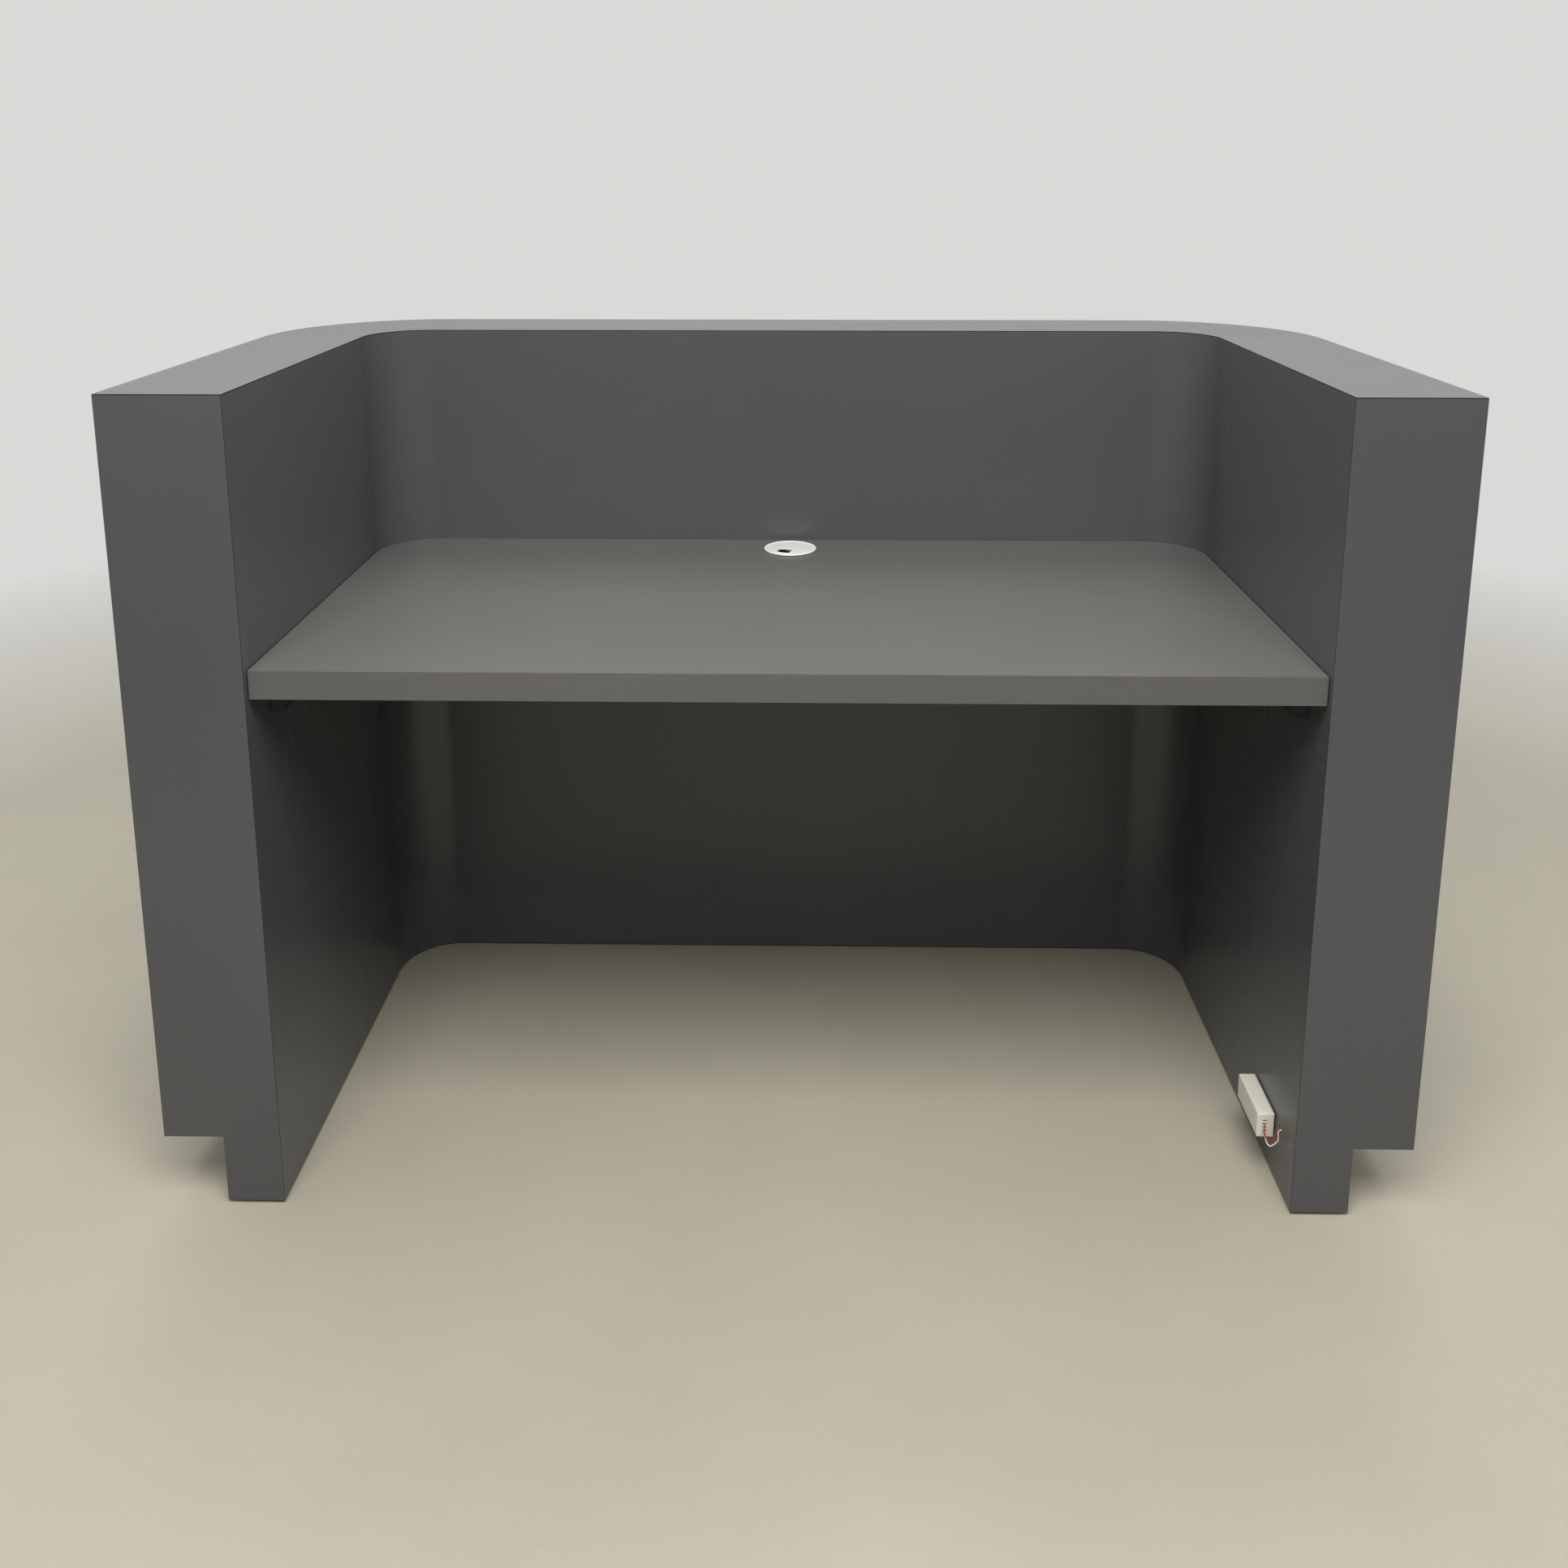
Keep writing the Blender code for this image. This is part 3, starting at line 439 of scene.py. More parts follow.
def plywood_material(name, along, layers):
    """Birch plywood: long grain on the faces, and stripes across an edge where the layers show."""
    material, tree, shader = new_material(name)
    stretch = drawn_out(along, 0.06)
    fibre = noise(tree, position(tree, stretch), 260.0, 5.0, 0.62, 0.4)
    figure = noise(tree, position(tree, stretch), 22.0, 3.0, 0.5, 1.4)
    tone = blend_colours(tree, spread(tree, figure), (0.50, 0.36, 0.21), (0.66, 0.52, 0.34))
    tone = blend_colours(tree, remap(tree, fibre, 0.35, 0.7, 0.0, 0.6), tone, (0.33, 0.21, 0.11))
    if layers is not None:
        axis, pitch = layers
        phase = compute(tree, "DIVIDE", axes_of(tree, position(tree))[axis], pitch)
        wave = compute(tree, "SINE", compute(tree, "MULTIPLY", phase, math.pi), 0.0)
        stripe = remap(tree, compute(tree, "ABSOLUTE", wave, 0.0), 0.0, 0.30, 0.5, 0.0)
        geometry = tree.nodes.new("ShaderNodeNewGeometry")
        facing = axes_of(tree, geometry.outputs["True Normal"])[axis]
        edge = remap(tree, compute(tree, "ABSOLUTE", facing, 0.0), 0.4, 0.6, 1.0, 0.0)
        tone = blend_colours(tree, compute(tree, "MULTIPLY", stripe, edge), tone, (0.16, 0.09, 0.05))
    dress(tree, shader, tone, remap(tree, fibre, 0.3, 0.7, 0.62, 0.80), [(fibre, 0.3, 0.0003)])
    return material


def stained_wood_material():
    """Cleats: softwood painted dark, with the grain still showing through the paint."""
    material, tree, shader = new_material("stained_wood_grain")
    fibre = noise(tree, position(tree, drawn_out("Y", 0.05)), 300.0, 5.0, 0.6, 0.3)
    figure = noise(tree, position(tree, drawn_out("Y", 0.08)), 40.0, 3.0, 0.5, 1.0)
    tone = blend_colours(tree, spread(tree, figure), (0.032, 0.033, 0.037), (0.060, 0.061, 0.066))
    tone = blend_colours(tree, remap(tree, fibre, 0.4, 0.7, 0.0, 0.7), tone, (0.016, 0.016, 0.018))
    dress(tree, shader, tone, remap(tree, fibre, 0.3, 0.7, 0.42, 0.66), [(fibre, 0.35, 0.0003)])
    return material


def plastic_material(name, colour, roughness, mottle=0.04, speckle=700.0):
    """Moulded plastic: faint flow mottling, a fine spark-eroded grain and handling marks."""
    material, tree, shader = new_material(name)
    where = position(tree)
    flow = noise(tree, where, 26.0, 3.0, 0.55, 0.8)
    grain = noise(tree, where, speckle, 2.0, 0.5)
    grime = noise(tree, where, 75.0, 5.0, 0.65)
    tone = blend_colours(tree, spread(tree, flow), scaled(colour, 1 - mottle), colour)
    tone = blend_colours(tree, remap(tree, grime, 0.50, 0.80, 0.0, 0.06), tone, scaled(colour, 0.6))
    gloss = remap(tree, grime, 0.3, 0.7, roughness - 0.05, roughness + 0.07)
    dress(tree, shader, tone, gloss, [(grain, 0.10, 0.00008)])
    return material


def metal_material(name, colour, roughness, along, strength):
    """Drawn or plated metal: fine lines along the draw, cloudy dullness and small stains."""
    material, tree, shader = new_material(name)
    lines = noise(tree, position(tree, drawn_out(along, 0.03)), 1500.0, 2.0, 0.5)
    clouds = noise(tree, position(tree), 60.0, 4.0, 0.6)
    tone = blend_colours(tree, remap(tree, clouds, 0.35, 0.7, 0.0, 1.0), colour, scaled(colour, 0.78))
    dullness = remap(tree, clouds, 0.3, 0.7, roughness - 0.06, roughness + 0.12)
    shader.inputs["Metallic"].default_value = 1.0
    dress(tree, shader, tone, dullness, [(lines, strength, 0.00005)])
    return material


def circuit_board_material():
    """Green solder resist with faint tracks under it."""
    material, tree, shader = new_material("circuit_board_resist")
    tracks = cells(tree, position(tree), 160.0, "DISTANCE_TO_EDGE")
    lines = remap(tree, tracks, 0.05, 0.12, 1.0, 0.0)
    tone = blend_colours(tree, lines, (0.014, 0.110, 0.045), (0.040, 0.210, 0.090))
    dress(tree, shader, tone, remap(tree, lines, 0.0, 1.0, 0.32, 0.22), [(lines, 0.3, 0.00004)])
    return material


def foam_material():
    """Closed-cell foam tape."""
    material, tree, shader = new_material("foam_cells")
    pits = cells(tree, position(tree), 2400.0)
    shade = remap(tree, pits, 0.1, 0.7, 0.0, 1.0)
    tone = blend_colours(tree, shade, (0.62, 0.62, 0.59), (0.78, 0.78, 0.75))
    dress(tree, shader, tone, remap(tree, pits, 0.0, 0.8, 0.80, 0.95), [(pits, 0.4, 0.0001)])
    return material


def floor_material():
    """Plain pale floor with the faintest cloudiness and a soft sheen; it fades into the backdrop."""
    material, tree, shader = new_material("pale_floor")
    where = position(tree)
    clouds = noise(tree, where, 1.1, 6.0, 0.62)
    grit = noise(tree, where, 160.0, 3.0, 0.6)
    tone = blend_colours(tree, spread(tree, clouds), (0.44, 0.41, 0.325), (0.50, 0.47, 0.375))
    tone = blend_colours(tree, remap(tree, grit, 0.35, 0.7, 0.0, 0.12), tone, (0.36, 0.335, 0.27))
    reach = tree.nodes.new("ShaderNodeVectorMath")
    reach.operation = "LENGTH"
    connect(tree, where, reach.inputs[0])
    connect(tree, remap(tree, reach.outputs["Value"], 1.9, 3.6, 1.0, 0.0), shader.inputs["Alpha"])
    dress(tree, shader, tone, remap(tree, clouds, 0.3, 0.7, 0.36, 0.46), [(grit, 0.10, 0.0003)])
    return material


# ------------------------------------------------------------------------------ camera, floor, lights


def camera():
    """Stands in front of the open side, above the ledge, and looks slightly down."""
    data = bpy.data.cameras.new("camera")
    data.lens = 32.24
    data.sensor_width = 36.0
    data.shift_y = -0.22
    thing = new_object("camera", data)
    thing.location = (0.0257, -2.0595, 1.4000)
    thing.rotation_euler = (math.radians(90 - 11.4), 0.0, math.radians(0.92))
    bpy.context.scene.camera = thing
    bpy.context.scene.view_settings.view_transform = "Standard"


def area_light(name, place, target, size, power, colour):
    data = bpy.data.lights.new(name, "AREA")
    data.shape = "RECTANGLE"
    data.size = size[0]
    data.size_y = size[1]
    data.energy = power
    data.color = colour
    thing = new_object(name, data)
    thing.location = place
    direction = Vector(target) - Vector(place)
    thing.rotation_euler = direction.to_track_quat("-Z", "Y").to_euler()


def room_light():
    """Soft light from all round, weakest low down on the open side, and a plain pale backdrop."""
    world = bpy.data.worlds.new("room")
    world.use_nodes = True
    tree = world.node_tree
    background = tree.nodes["Background"]
    coordinates = tree.nodes.new("ShaderNodeTexCoord")
    axes = axes_of(tree, coordinates.outputs["Generated"])
    depth = remap(tree, axes["Y"], -0.35, 0.55, 0.0, 1.0)
    height = remap(tree, axes["Z"], 0.15, 0.85, 0.0, 1.0)
    level = blend_colours(tree, depth, (0.12, 0.13, 0.155), (0.72, 0.72, 0.71))
    light = blend_colours(tree, height, level, (0.56, 0.56, 0.55))
    path = tree.nodes.new("ShaderNodeLightPath")
    colour = blend_colours(tree, path.outputs["Is Camera Ray"], light, BACKDROP)
    connect(tree, colour, background.inputs["Color"])
    background.inputs["Strength"].default_value = 1.0
    bpy.context.scene.world = world


def lights():
    """A ceiling panel in front of the open side, and a weaker one behind the counter."""
    room_light()
    area_light("front_panel", (0.0, -1.75, 2.95), (0.0, -0.1, 0.5), (2.5, 1.4), 100.0, (1.0, 0.99, 0.975))
    area_light("rear_panel", (0.0, 1.4, 3.1), (0.0, 0.3, 0.8), (3.4, 1.0), 28.0, (1.0, 0.985, 0.96))


def floor():
    """A disc that reaches past the place where its material has faded out."""

    def build(shape):
        bmesh.ops.create_circle(shape, cap_ends=True, segments=96, radius=9.0)

    thing = mesh_object("floor", build)
    thing.data.materials.append(floor_material())


# ------------------------------------------------------------------------------------------ the shell


def level_face(polygon):
    return abs(polygon.normal.z) > 0.5


def front_or_back_face(polygon):
    return abs(polygon.normal.y) > 0.5


def bent_face(polygon):
    """Whether a face of a bent sheet shows its decor: the upright faces, except the two front ends."""
    return abs(polygon.normal.z) < 0.5 and polygon.center.y > SKIN_FRONT + LAMINATE


def finish_sheet(sheet, shows_decor, slot, decor, core, node):
    """Slot 0 for a laminate sheet's decor and slot 1 for its sawn edges, then rounded arrises."""
    for polygon in sheet.data.polygons:
        polygon.material_index = 0 if shows_decor(polygon) else 1
    round_arrises(sheet)
    finish_piece(sheet, "counter", slot, [decor, core], node)


def shell_sheets(decor, core):
    """The bent sheets outside, inside and on the toe kick, and the flat sheet on top."""
    sheets = (
        ("outer_sheet", "outer_laminate", 0.0, LAMINATE, OUTER_LOW.z, OUTER_HIGH.z),
        ("inner_sheet", "inner_laminate", WALL - LAMINATE, WALL, INNER_LOW.z, INNER_HIGH.z),
        ("toe_sheet", "toe_laminate", TOE_IN, TOE_IN + LAMINATE, TOE_LOW.z, TOE_HIGH.z),
    )
    for name, node, outer_in, inner_in, low, high in sheets:
        sheet = band(name, outer_in, inner_in, SKIN_FRONT, low, high)
        if name == "inner_sheet":
            wall = HALF_WIDTH - WALL
            outline = arc(WALL_HOLE, WALL_HOLE_RADIUS, 0, 360 - 360 / 40, 39)
            cut_away(sheet, [prism("lead_hole", outline, wall - 0.01, wall + 0.01, axis="X")])
        smooth(sheet)
        finish_sheet(sheet, bent_face, "dark_laminate", decor, core, node)
    top = band("top_sheet", 0.0, WALL, SHELL_LOW.y, SHELL_LOW.z, SHELL_HIGH.z)
    smooth(top)
    finish_sheet(top, level_face, "dark_laminate", decor, core, "top_laminate")


def end_sheets(decor, core):
    """The L-shaped sheets on the ends of the wings."""
    for side, sign in (("left", -1), ("right", 1)):
        outer = sign * HALF_WIDTH
        inner = sign * (HALF_WIDTH - WALL)
        leg = sign * (HALF_WIDTH - TOE_IN)
        outline = [
            (inner, FLOOR_GAP),
            (leg, FLOOR_GAP),
            (leg, TOE_RISE),
            (outer, TOE_RISE),
            (outer, END_HIGH.z),
            (inner, END_HIGH.z),
        ]
        sheet = prism(f"{side}_end_sheet", outline, END_LOW.y, END_HIGH.y, axis="Y")
        finish_sheet(sheet, front_or_back_face, "dark_laminate", decor, core, f"{side}_end_laminate")


def boards():
    """The carcass inside the laminates, in birch plywood."""
    flat = plywood_material("plywood_flat", "X", ("Z", 0.0015))
    upright = plywood_material("plywood_upright", "Z", ("Y", 0.0015))
    bent = plywood_material("plywood_bent", "Z", None)
    studs = [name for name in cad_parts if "_stud_" in name]
    looks = (
        (flat, ["top_board", "middle_former", "soffit_board", "base_board", "worktop_board"]),
        (upright, ["left_end_board", "right_end_board", *studs]),
        (bent, ["outer_panel", "inner_panel", "toe_panel"]),
    )
    for material, names in looks:
        for name in names:
            paint_node(name, material)
    paint_bore_shade(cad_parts["worktop_board"])


def paint_bore_shade(board):
    """Painted shade on the board's bare edge inside the grommet's hole, where the bore lies in shadow."""
    board.data.materials.append(core_material("bore_painted_shade", (0.014, 0.013, 0.012)))
    for polygon in board.data.polygons:
        if (polygon.center.to_2d() - GROMMET_CENTRE).length < GROMMET_HOLE_RADIUS + GAP:
            polygon.material_index = 1


def paint_node(name, material, arris=0.0003):
    """Gives a CAD node its material, smooth normals and slightly rounded arrises."""
    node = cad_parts[name]
    node.data.materials.clear()
    node.data.materials.append(material)
    custom = node.data.attributes.get("custom_normal")
    if custom is not None:
        node.data.attributes.remove(custom)
    node.data.shade_smooth()
    weld = node.modifiers.new("weld", "WELD")
    weld.merge_threshold = 0.00001
    round_arrises(node, arris, 35)


# ---------------------------------------------------------------------------------------- the worktop


def worktop(decor, core):
    """The laminate on the worktop's two faces and on its front edge."""
    below = WORKTOP_TOP - 0.1
    above = WORKTOP_TOP + 0.1
    reach = GROMMET_HOLE_RADIUS
    hole = turned("hole", [(0, below), (reach, below), (reach, above), (0, above)], GROMMET_CENTRE)
    top = prism("worktop_sheet", shell_line(WORKTOP_IN, TOP_LOW.y), TOP_LOW.z, TOP_HIGH.z)
    cut_away(top, [hole])
    smooth(top)
    finish_sheet(top, level_face, "worktop_laminate", decor, core, "worktop_laminate")
    edging = box_shape("worktop_front_edging", EDGING_LOW, EDGING_HIGH)
    finish_sheet(edging, front_or_back_face, "worktop_laminate", decor, core, "worktop_edging")
    paint_node("worktop_backing", decor)


def cleats():
    """Dark battens under the worktop, with the heads of the screws that hold them to the walls."""
    wood = stained_wood_material()
    zinc = metal_material("screw_zinc", (0.42, 0.40, 0.36), 0.38, "Z", 0.2)
    for name in ("left_cleat", "right_cleat", "back_cleat"):
        paint_node(name, wood, 0.0008)
        low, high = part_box(name)
        finish_piece(screw_heads(name, low, high), "counter", "zinc", zinc)


def screw_heads(name, low, high):
    """Flat screw heads with a cross recess, let in flush along the open face of a cleat."""
    size = high - low
    count = 5
    radius = 0.0042
    depth = 0.0022
    proud = 0.0002
    recess = 0.0016
    arm = 0.00045
    heads = []
    for number in range(count):
        share = (number + 0.5) / count
        if size.x > size.y:
            place = Vector((low.x + size.x * share, low.y - proud, (low.z + high.z) / 2))
            turn = Matrix.Rotation(math.radians(90), 4, "X")
        else:
            inward = 1 if low.x < 0 else -1
            face = high.x if low.x < 0 else low.x
            place = Vector((face + inward * proud, low.y + size.y * share, (low.z + high.z) / 2))
            turn = Matrix.Rotation(math.radians(90 * inward), 4, "Y")
        section = [(0, -depth), (radius * 0.6, -depth), (radius, -0.0004), (radius - 0.0003, 0), (0, 0)]
        head = turned(f"{name}_screw", section, (0, 0), 32)
        arms = [
            box_shape("arm", (-recess, -arm, -recess), (recess, arm, 0.001)),
            box_shape("arm", (-arm, -recess, -recess), (arm, recess, 0.001)),
        ]
        cut_away(head, arms)
        spin = Matrix.Rotation(math.radians(23 * number), 4, "Z")
        head.data.transform(Matrix.Translation(place) @ turn @ spin)
        heads.append(head)
    return joined(f"{name}_screws", heads)


def joined(name, things):
    """One object from several; each stays a closed body of its own."""
    shape = bmesh.new()
    for thing in things:
        shape.from_mesh(thing.data)
    result = object_from(name, shape)
    for thing in things:
        bpy.data.objects.remove(thing, do_unlink=True)
    smooth(result)
    return result


# ---------------------------------------------------------------------------------------- the grommet

FLANGE_RADIUS = (LINER_HIGH.x - LINER_LOW.x) / 2
FLANGE_TOP = LINER_HIGH.z
SLEEVE_LOW = LINER_LOW.z
SLEEVE_RADIUS = GROMMET_HOLE_RADIUS - GAP
SLEEVE_BORE = 0.0380
LEDGE_TOP = WORKTOP_TOP - 0.0050
LEDGE_RADIUS = 0.0350
RIM_CREST = FLANGE_TOP + 0.0003
CAP_LOW, CAP_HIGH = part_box("grommet_cap")
CAP_RADIUS = (CAP_HIGH.x - CAP_LOW.x) / 2
CAP_FACE = CAP_HIGH.z - 0.0005
CAP_FLOOR = CAP_HIGH.z - 0.0025
SKIRT_RADIUS = LEDGE_RADIUS - GAP
SKIRT_BORE = SKIRT_RADIUS - 0.0016
SLOT_HALF_WIDTH = 0.0112
SLOT_OFFSET = -0.0036
SLOT_NEAR = 0.0042
SLOT_END_DEPTH = 0.0052
SLOT_FAR_RADIUS = 0.0312
SLOT_BEARING = math.radians(252)
SLOT_STEPS = 28
LIP_WIDTH = 0.0021
LIP_RISE = 0.0008
SHUTTER_RADIUS = SKIRT_BORE - 0.0004
SHUTTER_HUB = 0.0080
SHUTTER_BORE = 0.0021
SHUTTER_HALF_ANGLE = 52
SHUTTER_OPEN_TURN = math.radians(104)


def paint_shade_inside(thing, radius, height):
    """Slot 1, near-black painted shade, for the faces within a radius of the grommet's axis and under a
    height, where the inside lies in shadow.
    """
    for polygon in thing.data.polygons:
        reach = (polygon.center.to_2d() - GROMMET_CENTRE).length
        polygon.material_index = 1 if reach < radius and polygon.center.z < height else 0


def grommet_ring(plastic, dark):
    """The liner: a sleeve with an inner ledge, and a flange with a raised round rim."""
    seat = WORKTOP_TOP + GAP
    rim = arc((FLANGE_RADIUS - 0.0013, seat + 0.0014), 0.0013, -70, 95, 12)
    dip = arc((SLEEVE_BORE + 0.0007, RIM_CREST - 0.0013), 0.0007, 75, 180, 6)
    profile = [
        (LEDGE_RADIUS, LEDGE_TOP - 0.0020),
        (SLEEVE_BORE, LEDGE_TOP - 0.0050),
        (SLEEVE_BORE, SLEEVE_LOW + 0.0005),
        (SLEEVE_BORE + 0.0005, SLEEVE_LOW),
        (SLEEVE_RADIUS - 0.0005, SLEEVE_LOW),
        (SLEEVE_RADIUS, SLEEVE_LOW + 0.0005),
        (SLEEVE_RADIUS, seat),
        (FLANGE_RADIUS - 0.0022, seat),
        *rim,
        *dip,
        (SLEEVE_BORE, LEDGE_TOP),
        (LEDGE_RADIUS + 0.0003, LEDGE_TOP),
        (LEDGE_RADIUS, LEDGE_TOP - 0.0003),
    ]
    ring = turned("grommet_ring", profile, GROMMET_CENTRE)
    # Painted shade: the bore below the ledge gets the near-black slot, for the shadow inside the sleeve.
    paint_shade_inside(ring, SLEEVE_BORE + 0.0001, LEDGE_TOP - 0.0010)
    smooth(ring, 40)
    finish_piece(ring, "counter", "white_plastic", [plastic, dark], "grommet_liner")


def slot_outline():
    """The cable slot: a shallow round end near the middle, straight sides, and the rim's arc."""
    points = []
    for step in range(SLOT_STEPS + 1):
        turn = math.pi * step / SLOT_STEPS
        x = SLOT_NEAR + SLOT_END_DEPTH * (1 - math.sin(turn))
        points.append((x, SLOT_OFFSET + SLOT_HALF_WIDTH * math.cos(turn)))
    for step in range(SLOT_STEPS + 1):
        y = SLOT_OFFSET - SLOT_HALF_WIDTH + 2 * SLOT_HALF_WIDTH * step / SLOT_STEPS
        points.append((math.sqrt(SLOT_FAR_RADIUS**2 - y**2), y))
    return points


def round_the_grommet(points, bearing):
    """Moves points from the grommet's own axes, with X outward, to a bearing counted from +X."""
    turned_points = []
    for x, y in points:
        u = x * math.cos(bearing) - y * math.sin(bearing)
        v = x * math.sin(bearing) + y * math.cos(bearing)
        turned_points.append((GROMMET_CENTRE.x + u, GROMMET_CENTRE.y + v))
    return turned_points


def offset_outline(outline, distance):
    """An outline moved outward, with its corners kept sharp."""
    area = sum(a[0] * b[1] - b[0] * a[1] for a, b in zip(outline, outline[1:] + outline[:1]))
    outward = 1 if area > 0 else -1
    moved = []
    for number, point in enumerate(outline):
        before = Vector(point) - Vector(outline[number - 1])
        after = Vector(outline[(number + 1) % len(outline)]) - Vector(point)
        first = Vector((before.y, -before.x)).normalized()
        second = Vector((after.y, -after.x)).normalized()
        miter = (first + second).normalized()
        reach = distance * outward / max(0.5, miter.dot(first))
        moved.append(tuple(Vector(point) + miter * reach))
    return moved


def swept_ring(name, outline, section):
    """A closed section of (outward offset, height) points swept round an outline."""

    def build(shape):
        rings = []
        for offset, height in section:
            rings.append([shape.verts.new((x, y, height)) for x, y in offset_outline(outline, offset)])
        for here, there in zip(rings, rings[1:] + rings[:1]):
            bridge(shape, here, there)

    return mesh_object(name, build)


def without_doubles(points):
    kept = []
    for point in points:
        if not kept or (Vector(point) - Vector(kept[-1])).length > 1e-6:
            kept.append(point)
    if (Vector(kept[0]) - Vector(kept[-1])).length < 1e-6:
        kept.pop()
    return kept


def grommet_cap(plastic, dark):
    """The lift-out cap: a flat face with a rounded edge, a skirt, and a raised lip round its slot."""
    edge = arc((CAP_RADIUS - 0.0006, CAP_FACE - 0.0006), 0.0006, 90, 0, 6)
    profile = [
        (0, CAP_FACE),
        *edge,
        (CAP_RADIUS, LEDGE_TOP + GAP),
        (SKIRT_RADIUS, LEDGE_TOP + GAP),
        (SKIRT_RADIUS, CAP_LOW.z + 0.0004),
        (SKIRT_RADIUS - 0.0004, CAP_LOW.z),
        (SKIRT_BORE + 0.0004, CAP_LOW.z),
        (SKIRT_BORE, CAP_LOW.z + 0.0004),
        (SKIRT_BORE, CAP_FLOOR),
        (0, CAP_FLOOR),
    ]
    cap = turned("grommet_disc", profile, GROMMET_CENTRE)
    outline = without_doubles(round_the_grommet(slot_outline(), SLOT_BEARING))
    cut_away(cap, [prism("slot", outline, CAP_LOW.z - 0.01, CAP_HIGH.z + 0.01)])
    # Painted shade: the cap's underside and the inside of its skirt get the near-black slot.
    paint_shade_inside(cap, (SKIRT_RADIUS + SKIRT_BORE) / 2, CAP_FLOOR + 0.0001)
    smooth(cap, 40)
    finish_piece(cap, "grommet_cap", "white_plastic", [plastic, dark], "grommet_cap")
    top = CAP_FACE + LIP_RISE
    section = [
        (-0.0001, CAP_FLOOR + 0.0002),
        (-0.0001, top - 0.0005),
        (0.0001, top - 0.0002),
        (0.0005, top),
        (0.0011, top),
        (LIP_WIDTH - 0.0004, top - 0.0004),
        (LIP_WIDTH, CAP_FACE - 0.0001),
    ]
    lip = swept_ring("grommet_slot_lip", outline, section)
    smooth(lip, 60)
    finish_piece(lip, "grommet_cap", "white_plastic", plastic)


def grommet_shutter(plastic):
    """The flat sector under the cap that turns to close the slot."""
    outline = arc((0, 0), SHUTTER_RADIUS, -SHUTTER_HALF_ANGLE, SHUTTER_HALF_ANGLE, 48)
    outline += arc((0, 0), SHUTTER_HUB, SHUTTER_HALF_ANGLE, 360 - SHUTTER_HALF_ANGLE, 48)
    placed = round_the_grommet(outline, SLOT_BEARING + SHUTTER_OPEN_TURN)
    shutter = prism("shutter_plate", placed, SHUTTER_BOTTOM.z, SHUTTER_CEILING.z)
    bore = arc(GROMMET_CENTRE, SHUTTER_BORE, 0, 350, 35)
    cut_away(shutter, [prism("bore", bore, SHUTTER_BOTTOM.z - 0.01, SHUTTER_CEILING.z + 0.01)])
    smooth(shutter)
    round_arrises(shutter, 0.0002)
    finish_piece(shutter, "grommet_shutter", "white_plastic", plastic, "grommet_shutter")


def grommet():
    plastic = plastic_material("grommet_plastic", (0.82, 0.82, 0.79), 0.30)
    # Near-black painted shade for the shadowed inside of the ring and cap, not a moulded colour.
    dark = plastic_material("grommet_painted_shade", (0.012, 0.012, 0.012), 0.60)
    grommet_ring(plastic, dark)
    grommet_cap(plastic_material("cap_plastic", (0.74, 0.745, 0.715), 0.32), dark)
    # The shutter's near-black colour is painted shade, for the shadow it lies in under the cap.
    grommet_shutter(plastic_material("shutter_painted_shade", (0.085, 0.085, 0.082), 0.38))
    paint_node("grommet_pivot", plastic, 0.0002)


# ----------------------------------------------------------------------------- driver and strip light

DRIVER_FRONT = COVER_LOW.y
DRIVER_LOW = COVER_LOW.z
DRIVER_RADIUS = 0.0016
DRIVER_WALL = 0.0018
TERMINALS = 4
TERMINAL_PITCH = 0.0053
TERMINAL_FIRST = DRIVER_LOW + 0.0095
TERMINAL_HALF_WIDTH = 0.0032
TERMINAL_HALF_HEIGHT = 0.0013


def rounded_rectangle(low, high, radius, inset):
    """An outline of (x, z) points between two corners, moved inward by an inset."""
    left, right = low.x + inset, high.x - inset
    bottom, top = low.z + inset, high.z - inset
    round_radius = max(radius - inset, 0.0003)
    corners = (
        ((right - round_radius, top - round_radius), 0),
        ((left + round_radius, top - round_radius), 90),
        ((left + round_radius, bottom + round_radius), 180),
        ((right - round_radius, bottom + round_radius), 270),
    )
    outline = []
    for centre, start in corners:
        outline += arc(centre, round_radius, start, start + 90, 6)
    return outline


def lofted(name, sections):
    """A closed body through outlines of (x, z) points, each at a distance along Y."""

    def build(shape):
        rings = [[shape.verts.new((x, along, z)) for x, z in outline] for outline, along in sections]
        closed_tube(shape, rings)

    return mesh_object(name, build)


def rounded_end(low, high, face, inward, radius):
    """Sections that round a moulding off towards its end face."""
    sections = []
    steps = 5
    for step in range(steps + 1):
        turn = math.pi / 2 * step / steps
        inset = radius * (1 - math.sin(turn))
        along = face + inward * radius * (1 - math.cos(turn))
        sections.append((rounded_rectangle(low, high, DRIVER_RADIUS, inset), along))
    return sections


def driver_shell(plastic):
    """The case: a moulded box with round corners, open at the front, where the cover closes it."""
    low, high = CASE_LOW, CASE_HIGH
    chamfer = 0.0003
    sections = [
        (rounded_rectangle(low, high, DRIVER_RADIUS, chamfer), low.y),
        (rounded_rectangle(low, high, DRIVER_RADIUS, 0), low.y + chamfer),
    ]
    sections += list(reversed(rounded_end(low, high, high.y, -1, 0.0014)))
    case = lofted("driver_shell", sections)
    hollow_low = Vector((low.x + DRIVER_WALL, low.y - 0.01, low.z + DRIVER_WALL))
    hollow_high = Vector((high.x - DRIVER_WALL, high.y - DRIVER_WALL, high.z - DRIVER_WALL))
    cut_away(case, [box_shape("hollow", hollow_low, hollow_high)])
    smooth(case, 40)
    finish_piece(case, "counter", "driver_plastic", plastic, "driver_case")


